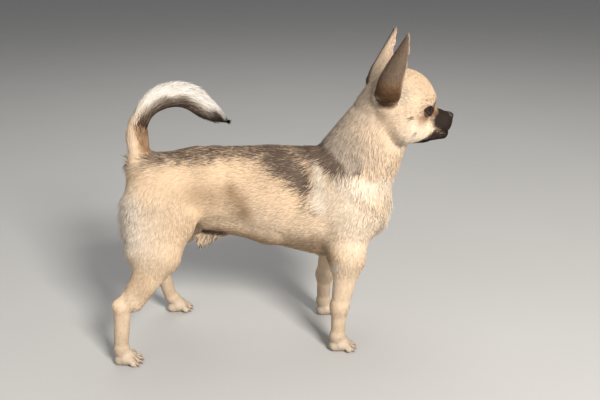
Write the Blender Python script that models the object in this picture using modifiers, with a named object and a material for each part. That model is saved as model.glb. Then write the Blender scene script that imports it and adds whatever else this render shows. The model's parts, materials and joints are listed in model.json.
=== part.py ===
"""A life-size chihuahua, standing, as one still model in named parts.

The dog faces +X, its right side faces -Y, and +Z is up. The flesh is one smooth
field of rounded masses; each named part is the stretch of it between thin cuts.
Sizes in the tables are millimetres, outside the short coat. MM makes them metres.
"""

import math

import bmesh
import bpy
import numpy as np
from mathutils import Matrix, Vector

MM = 0.001
GAP = 0.3  # between touching parts
FAR = 12.0  # masses this far from every point are left out of the field
SIDES = {"right": -1, "left": 1}
SETTLE_ROUNDS = 7
ROUGH_MARGIN = 9.0  # a part is thinned out this far past its cuts
TAIL_FULLNESS = 0.0  # 0 leaves only the tail's core for its locks, 1 makes it plain


class Mass:
    """One rounded volume, swept from ball a to ball b and squeezed across by wide."""

    def __init__(self, a, a_radius, b, b_radius, wide=1.0, blend=8.0):
        self.a = np.array(a, float)
        self.b = np.array(b, float)
        self.radii = (a_radius, b_radius)
        self.wide = wide
        self.blend = blend

    @property
    def low(self):
        """Lower corner of the box round both balls."""
        return np.minimum(self.a - self.radii[0], self.b - self.radii[1])

    @property
    def high(self):
        """Upper corner of the box round both balls."""
        return np.maximum(self.a + self.radii[0], self.b + self.radii[1])

    def distance(self, points):
        """Distance from each point to the surface, near enough for blending."""
        axis = self.b - self.a
        away = points - self.a
        along = np.clip(away @ axis / max(axis @ axis, 1e-9), 0, 1)
        offset = away - along[:, None] * axis
        offset[:, 1] /= self.wide
        radius = self.radii[0] + along * (self.radii[1] - self.radii[0])
        return (np.linalg.norm(offset, axis=1) - radius) * min(1.0, self.wide)

    def mesh_into(self, bm):
        """Adds the hull of the two end balls to a bmesh, in metres."""
        own = bmesh.new()
        for centre, radius in ((self.a, self.radii[0]), (self.b, self.radii[1])):
            place = Matrix.Translation(Vector(centre) * MM)
            size = Matrix.Diagonal((radius * MM, radius * MM * self.wide, radius * MM, 1))
            bmesh.ops.create_icosphere(own, subdivisions=3, radius=1, matrix=place @ size)
        bmesh.ops.delete(own, geom=own.edges[:], context="EDGES_FACES")
        bmesh.ops.convex_hull(own, input=own.verts)
        loose = [vert for vert in own.verts if not vert.link_faces]
        bmesh.ops.delete(own, geom=loose, context="VERTS")
        hull = bpy.data.meshes.new("hull")
        own.to_mesh(hull)
        own.free()
        bm.from_mesh(hull)
        bpy.data.meshes.remove(hull)


# Trunk, neck and head

TRUNK = [
    Mass((37, 0, 154.5), 55.5, (-30, 0, 164.5), 45, wide=0.80, blend=12),  # ribs
    Mass((-30, 0, 169.5), 43.5, (-100, 0, 176), 39, wide=0.86, blend=10),  # belly
    Mass((-100, 0, 177), 36, (-147, 0, 181), 29, wide=0.97, blend=10),  # rump
    Mass((10, 0, 201), 13, (-40, 0, 201), 12, wide=1.2, blend=10),  # withers
    Mass((27, 0, 117), 22, (-32, 0, 129), 17, wide=1.0, blend=10),  # breastbone
    Mass((-32, 0, 130), 17, (-92, 0, 143), 15, wide=1.3, blend=10),  # flank
    Mass((-80, 0, 129), 9, (-104, 0, 118), 6.5, wide=0.9, blend=7),  # sheath
]
NECK = [Mass((52, 0, 184), 47, (85, 0, 245), 34.5, wide=0.78, blend=9)]
SKULL = [
    Mass((97, 0, 258), 34, (101.5, 0, 258.7), 34.3, wide=0.93, blend=8),
    Mass((124, 0, 243), 14.5, (146, 0, 240.5), 9.2, wide=1.08, blend=5),
    Mass((117, 0, 227), 10.5, (144.5, 0, 227.3), 7, wide=1.25, blend=3),
]

# Tail: each station is a point on the bone line, the core's radius there, and how far the
# hair reaches from that point on the outer and the inner side of the curl

TAIL_STATIONS = [
    ((-158.0, 204.0), 8.5, 17.0, 13.0),
    ((-160.5, 217.0), 7.0, 13.5, 14.0),
    ((-160.0, 231.0), 6.2, 12.5, 9.5),
    ((-156.0, 244.0), 5.8, 10.8, 8.5),
    ((-149.0, 255.0), 5.5, 12.4, 8.5),
    ((-138.5, 263.0), 5.2, 14.7, 9.6),
    ((-126.0, 267.0), 4.9, 16.0, 10.0),
    ((-113.5, 266.0), 4.6, 17.0, 10.5),
    ((-102.0, 261.5), 4.2, 15.0, 10.0),
    ((-92.0, 255.0), 3.8, 10.6, 9.6),
    ((-85.5, 250.5), 2.8, 6.0, 4.5),
]
TAIL_WIDE = 0.85


def tail_masses(fullness=0.0):
    """The tail as a chain of masses: 0 gives its core, 1 reaches out to the hair's outline."""
    balls = []
    for index, ((x, z), core, outer, inner) in enumerate(TAIL_STATIONS):
        before = TAIL_STATIONS[max(index - 1, 0)][0]
        after = TAIL_STATIONS[min(index + 1, len(TAIL_STATIONS) - 1)][0]
        run = math.hypot(after[0] - before[0], after[1] - before[1])
        outward = (-(after[1] - before[1]) / run, (after[0] - before[0]) / run)
        shift = fullness * (outer - inner) / 2
        radius = core + fullness * ((outer + inner) / 2 - core)
        balls.append(((x + outward[0] * shift, 0, z + outward[1] * shift), radius))
    out = [Mass((-150, 0, 188), 15, balls[0][0], balls[0][1] + 1.5, wide=0.9, blend=9)]
    for (a, a_radius), (b, b_radius) in zip(balls, balls[1:]):
        out.append(Mass(a, a_radius, b, b_radius, wide=TAIL_WIDE, blend=3))
    return out


def sided(side, table):
    """The same masses for one side of the dog: tables are written for y above zero."""
    sign = SIDES[side]
    out = []
    for a, ra, b, rb, wide, blend in table:
        a = (a[0], a[1] * sign, a[2])
        b = (b[0], b[1] * sign, b[2])
        out.append(Mass(a, ra, b, rb, wide, blend))
    return out


EYE_CENTRE = (119.5, 18.5, 255.0)
EYE_RADIUS = 8.4
EYE_GAZE = (0.80, 0.60, 0.02)
FACE = [
    ((101, 17, 237), 17, (123, 11, 232), 11, 1.0, 7),  # cheek
    ((127, 7.5, 238), 8.5, (145.5, 5.8, 236), 6.4, 1.0, 4),  # upper lip
    ((114, 17, 263), 8.5, (126, 9, 264), 6.5, 1.0, 6),  # brow
    ((83, 19, 261), 10.5, (87, 22, 270), 8, 1.0, 6),  # root of the ear
]

# Legs: the near (right) hind leg stands back, the far one stands under the body

FORELEG = [
    ((28, 27, 188), 18, (54, 30, 152), 22, 0.80, 14),  # shoulder blade
    ((55, 31, 149), 20, (44, 37, 112), 17, 0.86, 12),  # upper arm
    ((46, 38, 106), 15.5, (38.5, 39, 52), 9.4, 0.88, 8),  # forearm
    ((37, 38, 104), 5.5, (34, 38.5, 98), 4.6, 0.9, 5),  # point of the elbow
    ((38, 39, 52), 9.2, (37, 39, 20), 7.6, 0.92, 6),  # wrist and pastern
]
FORELEG_BACK = {"right": 0.0, "left": -7.0}

HIND_LEGS = {
    "right": [
        ((-142, 27, 165), 36, (-153, 37, 125), 24.5, 0.66, 13),  # thigh
        ((-128, 34, 147), 20, (-142, 38, 121), 19, 0.68, 10),  # knee
        ((-144.5, 39, 115), 19.5, (-171, 46, 72), 12, 0.76, 9),  # lower leg
        ((-168, 45, 91), 3.6, (-186.5, 47, 70), 5.0, 0.8, 4),  # heel cord and hock
        ((-183, 47, 64), 9.2, (-187.5, 48, 22), 7.7, 0.92, 6),  # rear pastern
    ],
    "left": [
        ((-132, 27, 168), 35, (-128, 37, 130), 25, 0.66, 13),
        ((-114, 34, 146), 22, (-121, 38, 124), 19, 0.66, 10),
        ((-127, 39, 118), 19.5, (-151, 48, 76), 10.2, 0.76, 9),
        ((-153, 46, 86), 4.5, (-159, 49, 75), 4.8, 0.8, 5),
        ((-156, 50, 68), 9.2, (-147, 57, 22), 7.6, 0.92, 6),
    ],
}

PAWS = {
    "forepaw_right": ((37.0, -39), 0.0),
    "forepaw_left": ((31.0, 39), 4.0),
    "hindpaw_right": ((-186.5, -48.0), -3.0),
    "hindpaw_left": ((-142.0, 59), 6.0),
}
TOE_LANES = (-1.5, -0.5, 0.5, 1.5)
TOE_SPREAD = 9.0  # degrees between neighbours
TOE_REACH = (11.5, 13.8, 13.8, 11.5)
CLAW_LENGTH = 4.6


def paw_frame(name):
    """Where a paw stands, and which way it points on the ground."""
    (x, y), turn = PAWS[name]
    angle = math.radians(turn)
    forward = np.array((math.cos(angle), math.sin(angle), 0.0))
    across = np.array((-math.sin(angle), math.cos(angle), 0.0))
    return np.array((x, y, 0.0)), forward, across


def paw_masses(name):
    """The pastern's foot, its pads and four toes."""
    heel, forward, across = paw_frame(name)
    up = np.array((0.0, 0.0, 1.0))
    out = [
        Mass(heel - forward * 1.0 + up * 16, 8.0, heel + forward * 3 + up * 9.5, 8.4, 0.95, 5),
        Mass(heel - forward * 3.5 + up * 6, 6.2, heel + forward * 4 + up * 5, 6.2, 1.2, 3),
    ]
    for lane, reach in zip(TOE_LANES, TOE_REACH):
        angle = math.radians(lane * TOE_SPREAD)
        way = forward * math.cos(angle) + across * math.sin(angle)
        root = heel + across * lane * 3.6 + forward * 3
        knuckle = root + way * reach * 0.45 + up * 8.4
        tip = root + way * (reach - 3.2) + up * 4.3
        out.append(Mass(root + up * 8, 4.6, knuckle, 4.2, 0.95, 1.6))
        out.append(Mass(knuckle, 4.1, tip, 3.9, 0.95, 1.2))
    return out


def foreleg_masses(side):
    """One foreleg's masses, with the far one standing a little further back."""
    back = FORELEG_BACK[side]
    out = sided(side, FORELEG)
    for share, part in zip((0.0, 0.3, 0.8, 0.8, 1.0), out):
        part.a[0] += back * share
        part.b[0] += back * min(1.0, share + 0.2)
    return out


def all_masses():
    """Every mass of flesh, in the order in which they blend."""
    out = TRUNK + tail_masses(TAIL_FULLNESS) + NECK + SKULL
    for side in SIDES:
        out = out + sided(side, FACE) + foreleg_masses(side) + sided(side, HIND_LEGS[side])
    for name in PAWS:
        out = out + paw_masses(name)
    return out


BODY = all_masses()


def field(points):
    """Signed distance to the blended body, in millimetres: below zero is inside."""
    low, high = points.min(axis=0) - FAR, points.max(axis=0) + FAR
    total = np.full(len(points), 1e3)
    for part in BODY:
        if (part.high < low).any() or (part.low > high).any():
            continue
        near = part.distance(points)
        share = np.clip(0.5 + 0.5 * (total - near) / part.blend, 0, 1)
        total = total * (1 - share) + near * share - part.blend * share * (1 - share)
    return total


def slope(points, step=0.25):
    """Outward direction of the field at each point, unit length."""
    out = np.empty_like(points)
    for axis in range(3):
        nudge = np.zeros(3)
        nudge[axis] = step
        out[:, axis] = field(points + nudge) - field(points - nudge)
    return out / np.maximum(np.linalg.norm(out, axis=1, keepdims=True), 1e-9)


def settle(points, rounds=SETTLE_ROUNDS, lift=0.0, cling=1.0):
    """Points moved onto the body's surface, or lift millimetres above it.

    A cling under 1 draws points that stand too high only part of the way back.
    """
    points = np.array(points, float).reshape(-1, 3)
    for _ in range(rounds):
        step = np.clip(field(points) - lift, -3, 3)
        step = np.where(step > 0, step * cling, step)
        points = points - slope(points) * step[:, None] * 0.9
    return points


# Meshes

def new_object(name, mesh, collection):
    """Links a new object that holds the mesh."""
    obj = bpy.data.objects.new(name, mesh)
    collection.objects.link(obj)
    return obj


def apply_modifier(obj, kind, **settings):
    """Adds one modifier, sets it and makes its result the object's own mesh."""
    modifier = obj.modifiers.new(kind, kind)
    for key, value in settings.items():
        setattr(modifier, key, value)
    graph = bpy.context.evaluated_depsgraph_get()
    mesh = bpy.data.meshes.new_from_object(obj.evaluated_get(graph))
    obj.modifiers.clear()
    old, obj.data = obj.data, mesh
    bpy.data.meshes.remove(old)
    return obj


def skin_over(masses, voxel, name, collection):
    """A skin over these masses, at this voxel size, settled on the whole body's field."""
    bm = bmesh.new()
    for part in masses:
        part.mesh_into(bm)
    mesh = bpy.data.meshes.new(name)
    bm.to_mesh(mesh)
    bm.free()
    obj = new_object(name, mesh, collection)
    apply_modifier(obj, "REMESH", mode="VOXEL", voxel_size=voxel * MM)
    count = len(obj.data.vertices)
    points = np.empty(count * 3)
    obj.data.vertices.foreach_get("co", points)
    points = settle(points / MM) * MM
    obj.data.vertices.foreach_set("co", points.ravel())
    obj.data.update()
    return obj


def join_meshes(pieces, name, collection):
    """One object from several bmesh-built meshes, left as separate shells."""
    bm = bmesh.new()
    for mesh in pieces:
        bm.from_mesh(mesh)
        bpy.data.meshes.remove(mesh)
    whole = bpy.data.meshes.new(name)
    bm.to_mesh(whole)
    bm.free()
    return new_object(name, whole, collection)


def tube(points, radii, sides=8, flat=1.0, broad_axis=None):
    """A closed tube through points with a radius at each; broad_axis is its wide way."""
    bm = bmesh.new()
    points = [Vector(p) for p in points]
    rings = []
    for index, (point, radius) in enumerate(zip(points, radii)):
        ahead = points[min(index + 1, len(points) - 1)]
        behind = points[max(index - 1, 0)]
        way = (ahead - behind).normalized()
        broad = Vector(broad_axis[index]) if broad_axis is not None else way.orthogonal()
        broad = (broad - way * broad.dot(way)).normalized()
        thin = way.cross(broad)
        if radius <= 0:
            rings.append([bm.verts.new(point * MM)])
            continue
        ring = []
        for side in range(sides):
            turn = 2 * math.pi * side / sides
            offset = broad * math.cos(turn) + thin * math.sin(turn) * flat
            ring.append(bm.verts.new((point + offset * radius) * MM))
        rings.append(ring)
    for first, second in zip(rings, rings[1:]):
        bridge_rings(bm, first, second)
    for end in (rings[0], rings[-1]):
        if len(end) > 2:
            bm.faces.new(end)
    bmesh.ops.triangulate(bm, faces=bm.faces[:])
    bmesh.ops.recalc_face_normals(bm, faces=bm.faces[:])
    mesh = bpy.data.meshes.new("tube")
    bm.to_mesh(mesh)
    bm.free()
    return mesh


def bridge_rings(bm, first, second):
    """Faces between two rings of a tube, either of which may be a single point."""
    if len(first) == 1:
        first, second = second, first
    count = len(first)
    for side in range(count):
        here, after = first[side], first[(side + 1) % count]
        if len(second) == 1:
            bm.faces.new((here, after, second[0]))
        else:
            bm.faces.new((here, after, second[(side + 1) % count], second[side]))


def keep_largest(obj):
    """Drops every loose shell but the one with the largest volume."""
    bm = bmesh.new()
    bm.from_mesh(obj.data)
    left, shells = set(bm.faces), []
    while left:
        stack, shell = [left.pop()], []
        while stack:
            face = stack.pop()
            shell.append(face)
            for edge in face.edges:
                for other in edge.link_faces:
                    if other in left:
                        left.remove(other)
                        stack.append(other)
        volume = sum(face.calc_center_median().dot(face.normal) * face.calc_area() for face in shell)
        shells.append((volume, shell))
    shells.sort(key=lambda item: item[0])
    for _, shell in shells[:-1]:
        bmesh.ops.delete(bm, geom=shell, context="FACES")
    bmesh.ops.delete(bm, geom=[v for v in bm.verts if not v.link_faces], context="VERTS")
    bm.to_mesh(obj.data)
    bm.free()
    return obj


def boolean(obj, operation, others, solver="EXACT"):
    """One Boolean with a collection of closed meshes, which it then removes."""
    group = bpy.data.collections.new("operands")
    bpy.context.scene.collection.children.link(group)
    for other in others:
        for owner in list(other.users_collection):
            owner.objects.unlink(other)
        group.objects.link(other)
    apply_modifier(
        obj, "BOOLEAN", operation=operation, operand_type="COLLECTION", collection=group, solver=solver
    )
    for other in list(group.objects):
        bpy.data.meshes.remove(other.data)
    bpy.data.collections.remove(group)
    return obj


class Cut:
    """A plane between two parts. Its normal points into the part that it bounds."""

    def __init__(self, point, normal, gap=GAP):
        self.point = Vector(point)
        self.normal = Vector(normal).normalized()
        self.gap = gap

    def other_side(self):
        """The same cut, seen from the part on its other side."""
        return Cut(self.point, -self.normal, self.gap)

    def moved(self, amount):
        """The same cut, moved out of its part by this many millimetres."""
        return Cut(self.point - self.normal * amount, self.normal, self.gap)


def slice_mesh(obj, cuts):
    """Keeps what lies within every cut, and closes it."""
    bm = bmesh.new()
    bm.from_mesh(obj.data)
    for cut in cuts:
        geometry = bm.verts[:] + bm.edges[:] + bm.faces[:]
        bmesh.ops.bisect_plane(
            bm, geom=geometry, dist=1e-7, plane_co=cut.point * MM, plane_no=cut.normal, clear_inner=True
        )
        open_edges = [edge for edge in bm.edges if edge.is_boundary]
        if open_edges:
            bmesh.ops.triangle_fill(bm, edges=open_edges, use_beauty=True, normal=-cut.normal)
    bmesh.ops.dissolve_degenerate(bm, edges=bm.edges[:], dist=1e-6)
    bmesh.ops.triangulate(bm, faces=bm.faces[:])
    bmesh.ops.recalc_face_normals(bm, faces=bm.faces[:])
    bm.to_mesh(obj.data)
    bm.free()
    return obj


def block(cuts, side, name, collection):
    """A big solid within every cut, past it by half the gap (side 1) or short of it (-1)."""
    bm = bmesh.new()
    bmesh.ops.create_cube(bm, size=1.2)
    mesh = bpy.data.meshes.new(name)
    bm.to_mesh(mesh)
    bm.free()
    planes = [cut.moved(side * cut.gap / 2) for cut in cuts]
    return slice_mesh(new_object(name, mesh, collection), planes)

# Locks of long hair

LOCK_RINGS = ((0.0, 0.8, 1.0), (0.35, 1.0, 0.9), (0.7, 0.72, 0.6))  # share, width, thickness
LOCK_THICK = 2.2


class Lie:
    """Where a stretch of locks roots, which way they lie, and their sizes."""

    def __init__(self, roots, ways, length, width, lift, cling=0.6):
        count = len(roots)
        self.roots = np.array(roots, float).reshape(-1, 3)
        self.ways = np.array(ways, float).reshape(-1, 3) * np.ones((count, 1))
        self.length = np.ones(count) * length
        self.width = np.ones(count) * width
        self.lift = np.ones(count) * lift
        self.cling = cling

    def varied(self, rng):
        """The same locks, each a little longer, wider or more turned than its neighbours."""
        count = len(self.roots)
        self.length = self.length * rng.uniform(0.85, 1.15, count)
        self.width = self.width * rng.uniform(0.88, 1.12, count)
        self.lift = self.lift * rng.uniform(0.75, 1.1, count)
        self.ways = self.ways + rng.normal(0, 0.07, (count, 3))
        return self

    def spines(self):
        """Four points along each lock, with the surface's outward direction at each."""
        points = settle(self.roots, lift=-1.6)
        spine, outward = [points], [slope(points)]
        way = self.ways
        before = 0.0
        for share, rise in ((0.35, 0.3), (0.7, 0.72), (1.0, 1.0)):
            normal = slope(points)
            way = way - normal * (way * normal).sum(axis=1, keepdims=True)
            way = way / np.maximum(np.linalg.norm(way, axis=1, keepdims=True), 1e-6)
            points = points + way * (self.length * (share - before))[:, None]
            points = settle(points, rounds=3, lift=0.6 + self.lift * rise, cling=self.cling)
            spine.append(points)
            outward.append(slope(points))
            before = share
        return np.stack(spine, axis=1), np.stack(outward, axis=1)


def grow_locks(lie, name, collection):
    """One closed mesh object for each lock of a Lie, its root sunk in the surface."""
    spines, outward = lie.spines()
    out = []
    for index, (spine, normals) in enumerate(zip(spines, outward)):
        bm = bmesh.new()
        rings = []
        for ring_index, (_, broad, thick) in enumerate(LOCK_RINGS):
            way = Vector(spine[ring_index + 1] - spine[ring_index]).normalized()
            up = Vector(normals[ring_index])
            side = way.cross(up).normalized()
            up = side.cross(way)
            centre = Vector(spine[ring_index])
            half = side * lie.width[index] * broad / 2
            rise = up * LOCK_THICK * thick / 2
            corners = (centre + half, centre + rise, centre - half, centre - rise)
            rings.append([bm.verts.new(corner * MM) for corner in corners])
        rings.append([bm.verts.new(Vector(spine[-1]) * MM)])
        for first, second in zip(rings, rings[1:]):
            bridge_rings(bm, first, second)
        bm.faces.new(rings[0])
        bmesh.ops.triangulate(bm, faces=bm.faces[:])
        bmesh.ops.recalc_face_normals(bm, faces=bm.faces[:])
        mesh = bpy.data.meshes.new(name)
        bm.to_mesh(mesh)
        bm.free()
        out.append(new_object(f"{name}_{index}", mesh, collection))
    return out


TAIL_ROW = 16.4  # between rows of locks along the tail
TAIL_ROUND = 5  # locks in a row
TAIL_SIDE = 0.5  # how far the hair stands out sideways, against the mean of out and in


def tail_lie():
    """Locks down the whole tail, longest on the outer side of the curl."""
    line = np.array([(x, 0, z) for (x, z), *_ in TAIL_STATIONS])
    sizes = np.array([station[1:] for station in TAIL_STATIONS])
    runs = np.linalg.norm(np.diff(line, axis=0), axis=1)
    along = np.concatenate([[0], np.cumsum(runs)])
    roots, ways, lengths, widths, lifts = [], [], [], [], []
    rows = int((along[-1] - 9) / TAIL_ROW) + 1
    for row in range(rows):
        s = 3 + row * TAIL_ROW
        here = np.array([np.interp(s, along, line[:, axis]) for axis in range(3)])
        ahead = np.array([np.interp(s + 4, along, line[:, axis]) for axis in range(3)])
        behind = np.array([np.interp(s - 4, along, line[:, axis]) for axis in range(3)])
        core, outer, inner = (np.interp(s, along, sizes[:, k]) for k in range(3))
        way = (ahead - behind) / np.linalg.norm(ahead - behind)
        outward = np.array((-way[2], 0, way[0]))
        for place in range(TAIL_ROUND):
            angle = 2 * math.pi * (place + 0.2 * (row % 2)) / TAIL_ROUND
            around = outward * math.cos(angle) + np.array((0, 1, 0)) * math.sin(angle)
            facing = math.cos(angle)
            reach = outer * max(facing, 0) + inner * max(-facing, 0)
            reach += (outer + inner) / 2 * TAIL_SIDE * math.sin(angle) ** 2
            roots.append(here + around * core)
            ways.append(way)
            lifts.append(max(reach - core - 0.8, 0.5) * (1.15 if facing > 0.5 else 1.0))
            lengths.append(18.5 + lifts[-1] * 0.95)
            widths.append(12.5 if s < along[-1] * 0.75 else 10.0)
    return Lie(roots, ways, np.array(lengths), np.array(widths), np.array(lifts), cling=0.15)


def tail_tuft_lie():
    """The tuft at the tail's end."""
    (x, z), core, *_ = TAIL_STATIONS[-1]
    roots = [(x - 2, 2.0, z + 1), (x - 2, -2.0, z + 0.5), (x - 1, 0, z + 2.5), (x - 2, 0, z - 1)]
    return Lie(roots, (0.93, 0, -0.36), 22, 6, 0.4, cling=0.0)


def rump_lie():
    """The pale tufts at the back of the buttocks."""
    roots = [
        (-172, side * y, z) for side in (-1, 1) for y, z in
        ((8, 184), (20, 187), (12, 173), (24, 174), (15, 161), (27, 160))
    ]
    return Lie(roots, (-0.25, 0, -1), 19, 9, 5.5)


def croup_lie():
    """The first hair of the tail, up from the croup."""
    roots = [(-168, y, 185 - 0.3 * abs(y)) for y in (-10, 0, 10)]
    return Lie(roots, (-0.1, 0, 1), 23, 11, 4.5)


def chest_lie():
    """Short tufts down the front of the chest."""
    roots = [
        (95 - (170 - z) * 0.12, y, z) for z, places in
        ((172, (-15, 0, 15)), (158, (-22, -8, 8, 22)), (145, (-13, 1, 15))) for y in places
    ]
    return Lie(roots, (-0.15, 0, -1), 17, 9, 2.4)


def ruff_lie():
    """The ruff's edge, where the neck's longer hair ends on the shoulders."""
    roots = []
    for row in range(2):
        for side in (-1, 1):
            for step in range(4):
                share = (step + 0.5 * row) / 4
                x = 34 + 54 * share + 3 * row
                z = 206 - 46 * share - 9 * row
                roots.append((x, side * (36 - 14 * share), z))
    ways = [(0.12, 0.1 * math.copysign(1, root[1]), -1) for root in roots]
    return Lie(roots, ways, 18, 12, 3.0)


def sheath_lie():
    """The tuft below the belly."""
    roots = [(x, y, 121) for x in (-84, -92, -100) for y in (-5, 5)]
    return Lie(roots, (-0.55, 0, -0.8), 14, 7, 3.0)


# Cuts between the parts

NECK_BASE = Cut((57.5, 0, 193.5), (0.605, 0, 0.796))
HEAD_BASE = Cut((85, 0, 247), (0.868, 0, 0.5))
TAIL_BASE = Cut((-159, 0, 210), (-0.38, 0, 0.92))
TAIL_BEND = Cut((-153, 0, 250), (0.55, 0, 0.83))
TAIL_END = Cut((-117, 0, 266), (1, 0, -0.1))
FLOOR = Cut((0, 0, 0), (0, 0, 1), gap=0.0)
PAW_TOP = Cut((0, 0, 25), (0, 0, -1))
ELBOW = Cut((0, 0, 99), (0, 0, -1))
FORELEG_REAR = {"right": 24, "left": 18}
HIND_FRONT = {"right": -106, "left": -88}
KNEE_X = {"right": -142, "left": -124}
HOCK_X = {"right": -179, "left": -154}


def foreleg_block(side):
    """The planes that part a foreleg from the chest."""
    sign = SIDES[side]
    return [
        Cut((45, 16 * sign, 100), (0, 0.85 * sign, -0.53)),
        Cut((FORELEG_REAR[side], 0, 100), (1, 0, -0.1)),
        Cut((96, 0, 100), (-1, 0, 0)),
    ]


def hind_block(side):
    """The planes that part a hind leg from the rump and belly."""
    sign = SIDES[side]
    return [
        Cut((-135, 12 * sign, 128), (0, 0.80 * sign, -0.60)),
        Cut((0, 11 * sign, 0), (0, sign, 0)),
        Cut((HIND_FRONT[side], 0, 150), (-0.95, 0, -0.3)),
    ]


def knee(side):
    """The cut between thigh and lower leg. Its normal points down the leg."""
    return Cut((KNEE_X[side], 0, 112), (-0.45, 0, -0.9))


def hock(side):
    """The cut between lower leg and rear pastern. Its normal points down the leg."""
    return Cut((HOCK_X[side], 0, 70), (0.15, 0, -1))


# Parts

def thin_out(obj, triangles):
    """Decimates a mesh to about this many triangles."""
    count = sum(len(face.vertices) - 2 for face in obj.data.polygons)
    if count > triangles:
        apply_modifier(obj, "DECIMATE", ratio=triangles / count, use_collapse_triangulate=True)
    return obj


def rough_flesh(name, masses, voxel, cuts, triangles, collection):
    """The stretch of the body a little past the cuts, thinned out."""
    obj = skin_over(masses, voxel, name, collection)
    slice_mesh(obj, [cut.moved(ROUGH_MARGIN) for cut in cuts])
    return thin_out(obj, triangles)


def flesh(name, masses, voxel, cuts, triangles, collection, extras=()):
    """The stretch of the body within the cuts, thinned out, with extras joined to it."""
    obj = rough_flesh(name, masses, voxel, cuts, triangles, collection)
    if extras:
        boolean(obj, "UNION", extras, "MANIFOLD")
    boolean(obj, "INTERSECT", [block(cuts, -1, "block", collection)])
    return keep_largest(obj)


def grown_copy(obj, amount, collection):
    """A copy of a closed mesh, moved outwards by amount, to cut a neighbour clear of it."""
    copy = new_object(obj.name + "_grown", obj.data.copy(), collection)
    return apply_modifier(copy, "DISPLACE", strength=amount * MM, mid_level=0.0)


def ball(centre, radius, name, collection, segments, rings):
    """A plain ball, with its poles along Z."""
    bm = bmesh.new()
    place = Matrix.Translation(Vector(centre) * MM)
    bmesh.ops.create_uvsphere(
        bm, u_segments=segments, v_segments=rings, radius=radius * MM, matrix=place
    )
    mesh = bpy.data.meshes.new(name)
    bm.to_mesh(mesh)
    bm.free()
    return new_object(name, mesh, collection)


def eye_axes(side):
    """An eye's centre, gaze, level axis and upward axis."""
    flip = Vector((1, SIDES[side], 1))
    centre = Vector(EYE_CENTRE) * flip
    gaze = (Vector(EYE_GAZE) * flip).normalized()
    level = gaze.cross(Vector((0, 0, 1))).normalized()
    return centre, gaze, level, level.cross(gaze)


LID_POINTS = 12
LID_HALF_WIDTH = 56.0  # degrees from the gaze
LID_HALF_HEIGHT = 42.0
LID_RADIUS = 1.5


def lid_ring(side, name, collection):
    """The rolled edge of both lids, a closed ring on the eyeball."""
    centre, gaze, level, up = eye_axes(side)
    bm = bmesh.new()
    rings = []
    for index in range(LID_POINTS):
        turn = 2 * math.pi * index / LID_POINTS
        spread = math.radians(
            math.hypot(LID_HALF_WIDTH * math.cos(turn), LID_HALF_HEIGHT * math.sin(turn))
        )
        around = level * math.cos(turn) + up * math.sin(turn)
        out = gaze * math.cos(spread) + around * math.sin(spread)
        aside = around * math.cos(spread) - gaze * math.sin(spread)
        middle = centre + out * (EYE_RADIUS + 0.2)
        ring = []
        for side_index in range(6):
            roll = 2 * math.pi * side_index / 6
            offset = out * math.cos(roll) + aside * math.sin(roll)
            ring.append(bm.verts.new((middle + offset * LID_RADIUS) * MM))
        rings.append(ring)
    for first, second in zip(rings, rings[1:] + rings[:1]):
        bridge_rings(bm, first, second)
    bmesh.ops.triangulate(bm, faces=bm.faces[:])
    bmesh.ops.recalc_face_normals(bm, faces=bm.faces[:])
    mesh = bpy.data.meshes.new(name)
    bm.to_mesh(mesh)
    bm.free()
    return new_object(name, mesh, collection)


MOUTH_LINE = [
    (153.5, 0, 236), (151, -5, 234), (145, -9.5, 232.5), (137, -12.5, 231), (129, -14.5, 233),
]
MOUTH_DEPTH = 0.85


def mouth_cutter(name, collection):
    """The groove of the closed mouth, round the muzzle from corner to corner."""
    right = [Vector(point) for point in MOUTH_LINE]
    left = [Vector((point.x, -point.y, point.z)) for point in right]
    line = list(reversed(left[1:])) + right
    line = smooth_line(line, 3)
    line = [Vector(point) for point in settle(np.array([tuple(point) for point in line]))]
    radii = [MOUTH_DEPTH] * len(line)
    radii[0] = radii[-1] = 0.45
    return new_object(name, tube(line, radii, sides=5), collection)


def smooth_line(points, steps):
    """Points along a Catmull-Rom curve through the given ones."""
    points = [Vector(point) for point in points]
    padded = [points[0] * 2 - points[1]] + points + [points[-1] * 2 - points[-2]]
    out = []
    for index in range(1, len(padded) - 2):
        before, here, after, later = padded[index - 1:index + 3]
        for step in range(steps):
            t = step / steps
            out.append(
                (here * 2 + (after - before) * t + (before * 2 - here * 5 + after * 4 - later) * t ** 2
                 + (here * 3 - before - after * 3 + later) * t ** 3) / 2
            )
    return out + [points[-1]]


NOSE_CENTRE = (149.6, 0, 244.0)
NOSE_RADII = (6.4, 6.0, 4.6)
NOSTRIL = [(157.5, 2.4, 243.6), (154.6, 2.9, 243.9), (152.6, 3.9, 244.6)]


def nose_leather(name, collection, grow=0.0):
    """The bare nose: a blunt pad, broad above, with a furrow down its front."""
    bm = bmesh.new()
    bmesh.ops.create_uvsphere(bm, u_segments=14, v_segments=9, radius=1)
    for vert in bm.verts:
        x, y, z = vert.co
        width = 1 + 0.16 * z
        furrow = 0.7 * math.exp(-(y / 0.16) ** 2) * max(0.0, x) * max(0.0, 0.55 - z)
        blunt = math.copysign(abs(x) ** 0.8, x)
        vert.co = (
            (NOSE_CENTRE[0] + blunt * (NOSE_RADII[0] + grow) - furrow) * MM,
            (NOSE_CENTRE[1] + y * width * (NOSE_RADII[1] + grow)) * MM,
            (NOSE_CENTRE[2] + z * (NOSE_RADII[2] + grow)) * MM,
        )
    mesh = bpy.data.meshes.new(name)
    bm.to_mesh(mesh)
    bm.free()
    return new_object(name, mesh, collection)


def nostril_cutter(side, name, collection):
    """One nostril's hole, which turns outwards as it goes in."""
    points = [Vector((x, y * SIDES[side], z)) for x, y, z in NOSTRIL]
    return new_object(name, tube(points, [1.25, 1.25, 0.8], sides=6), collection)


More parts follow.
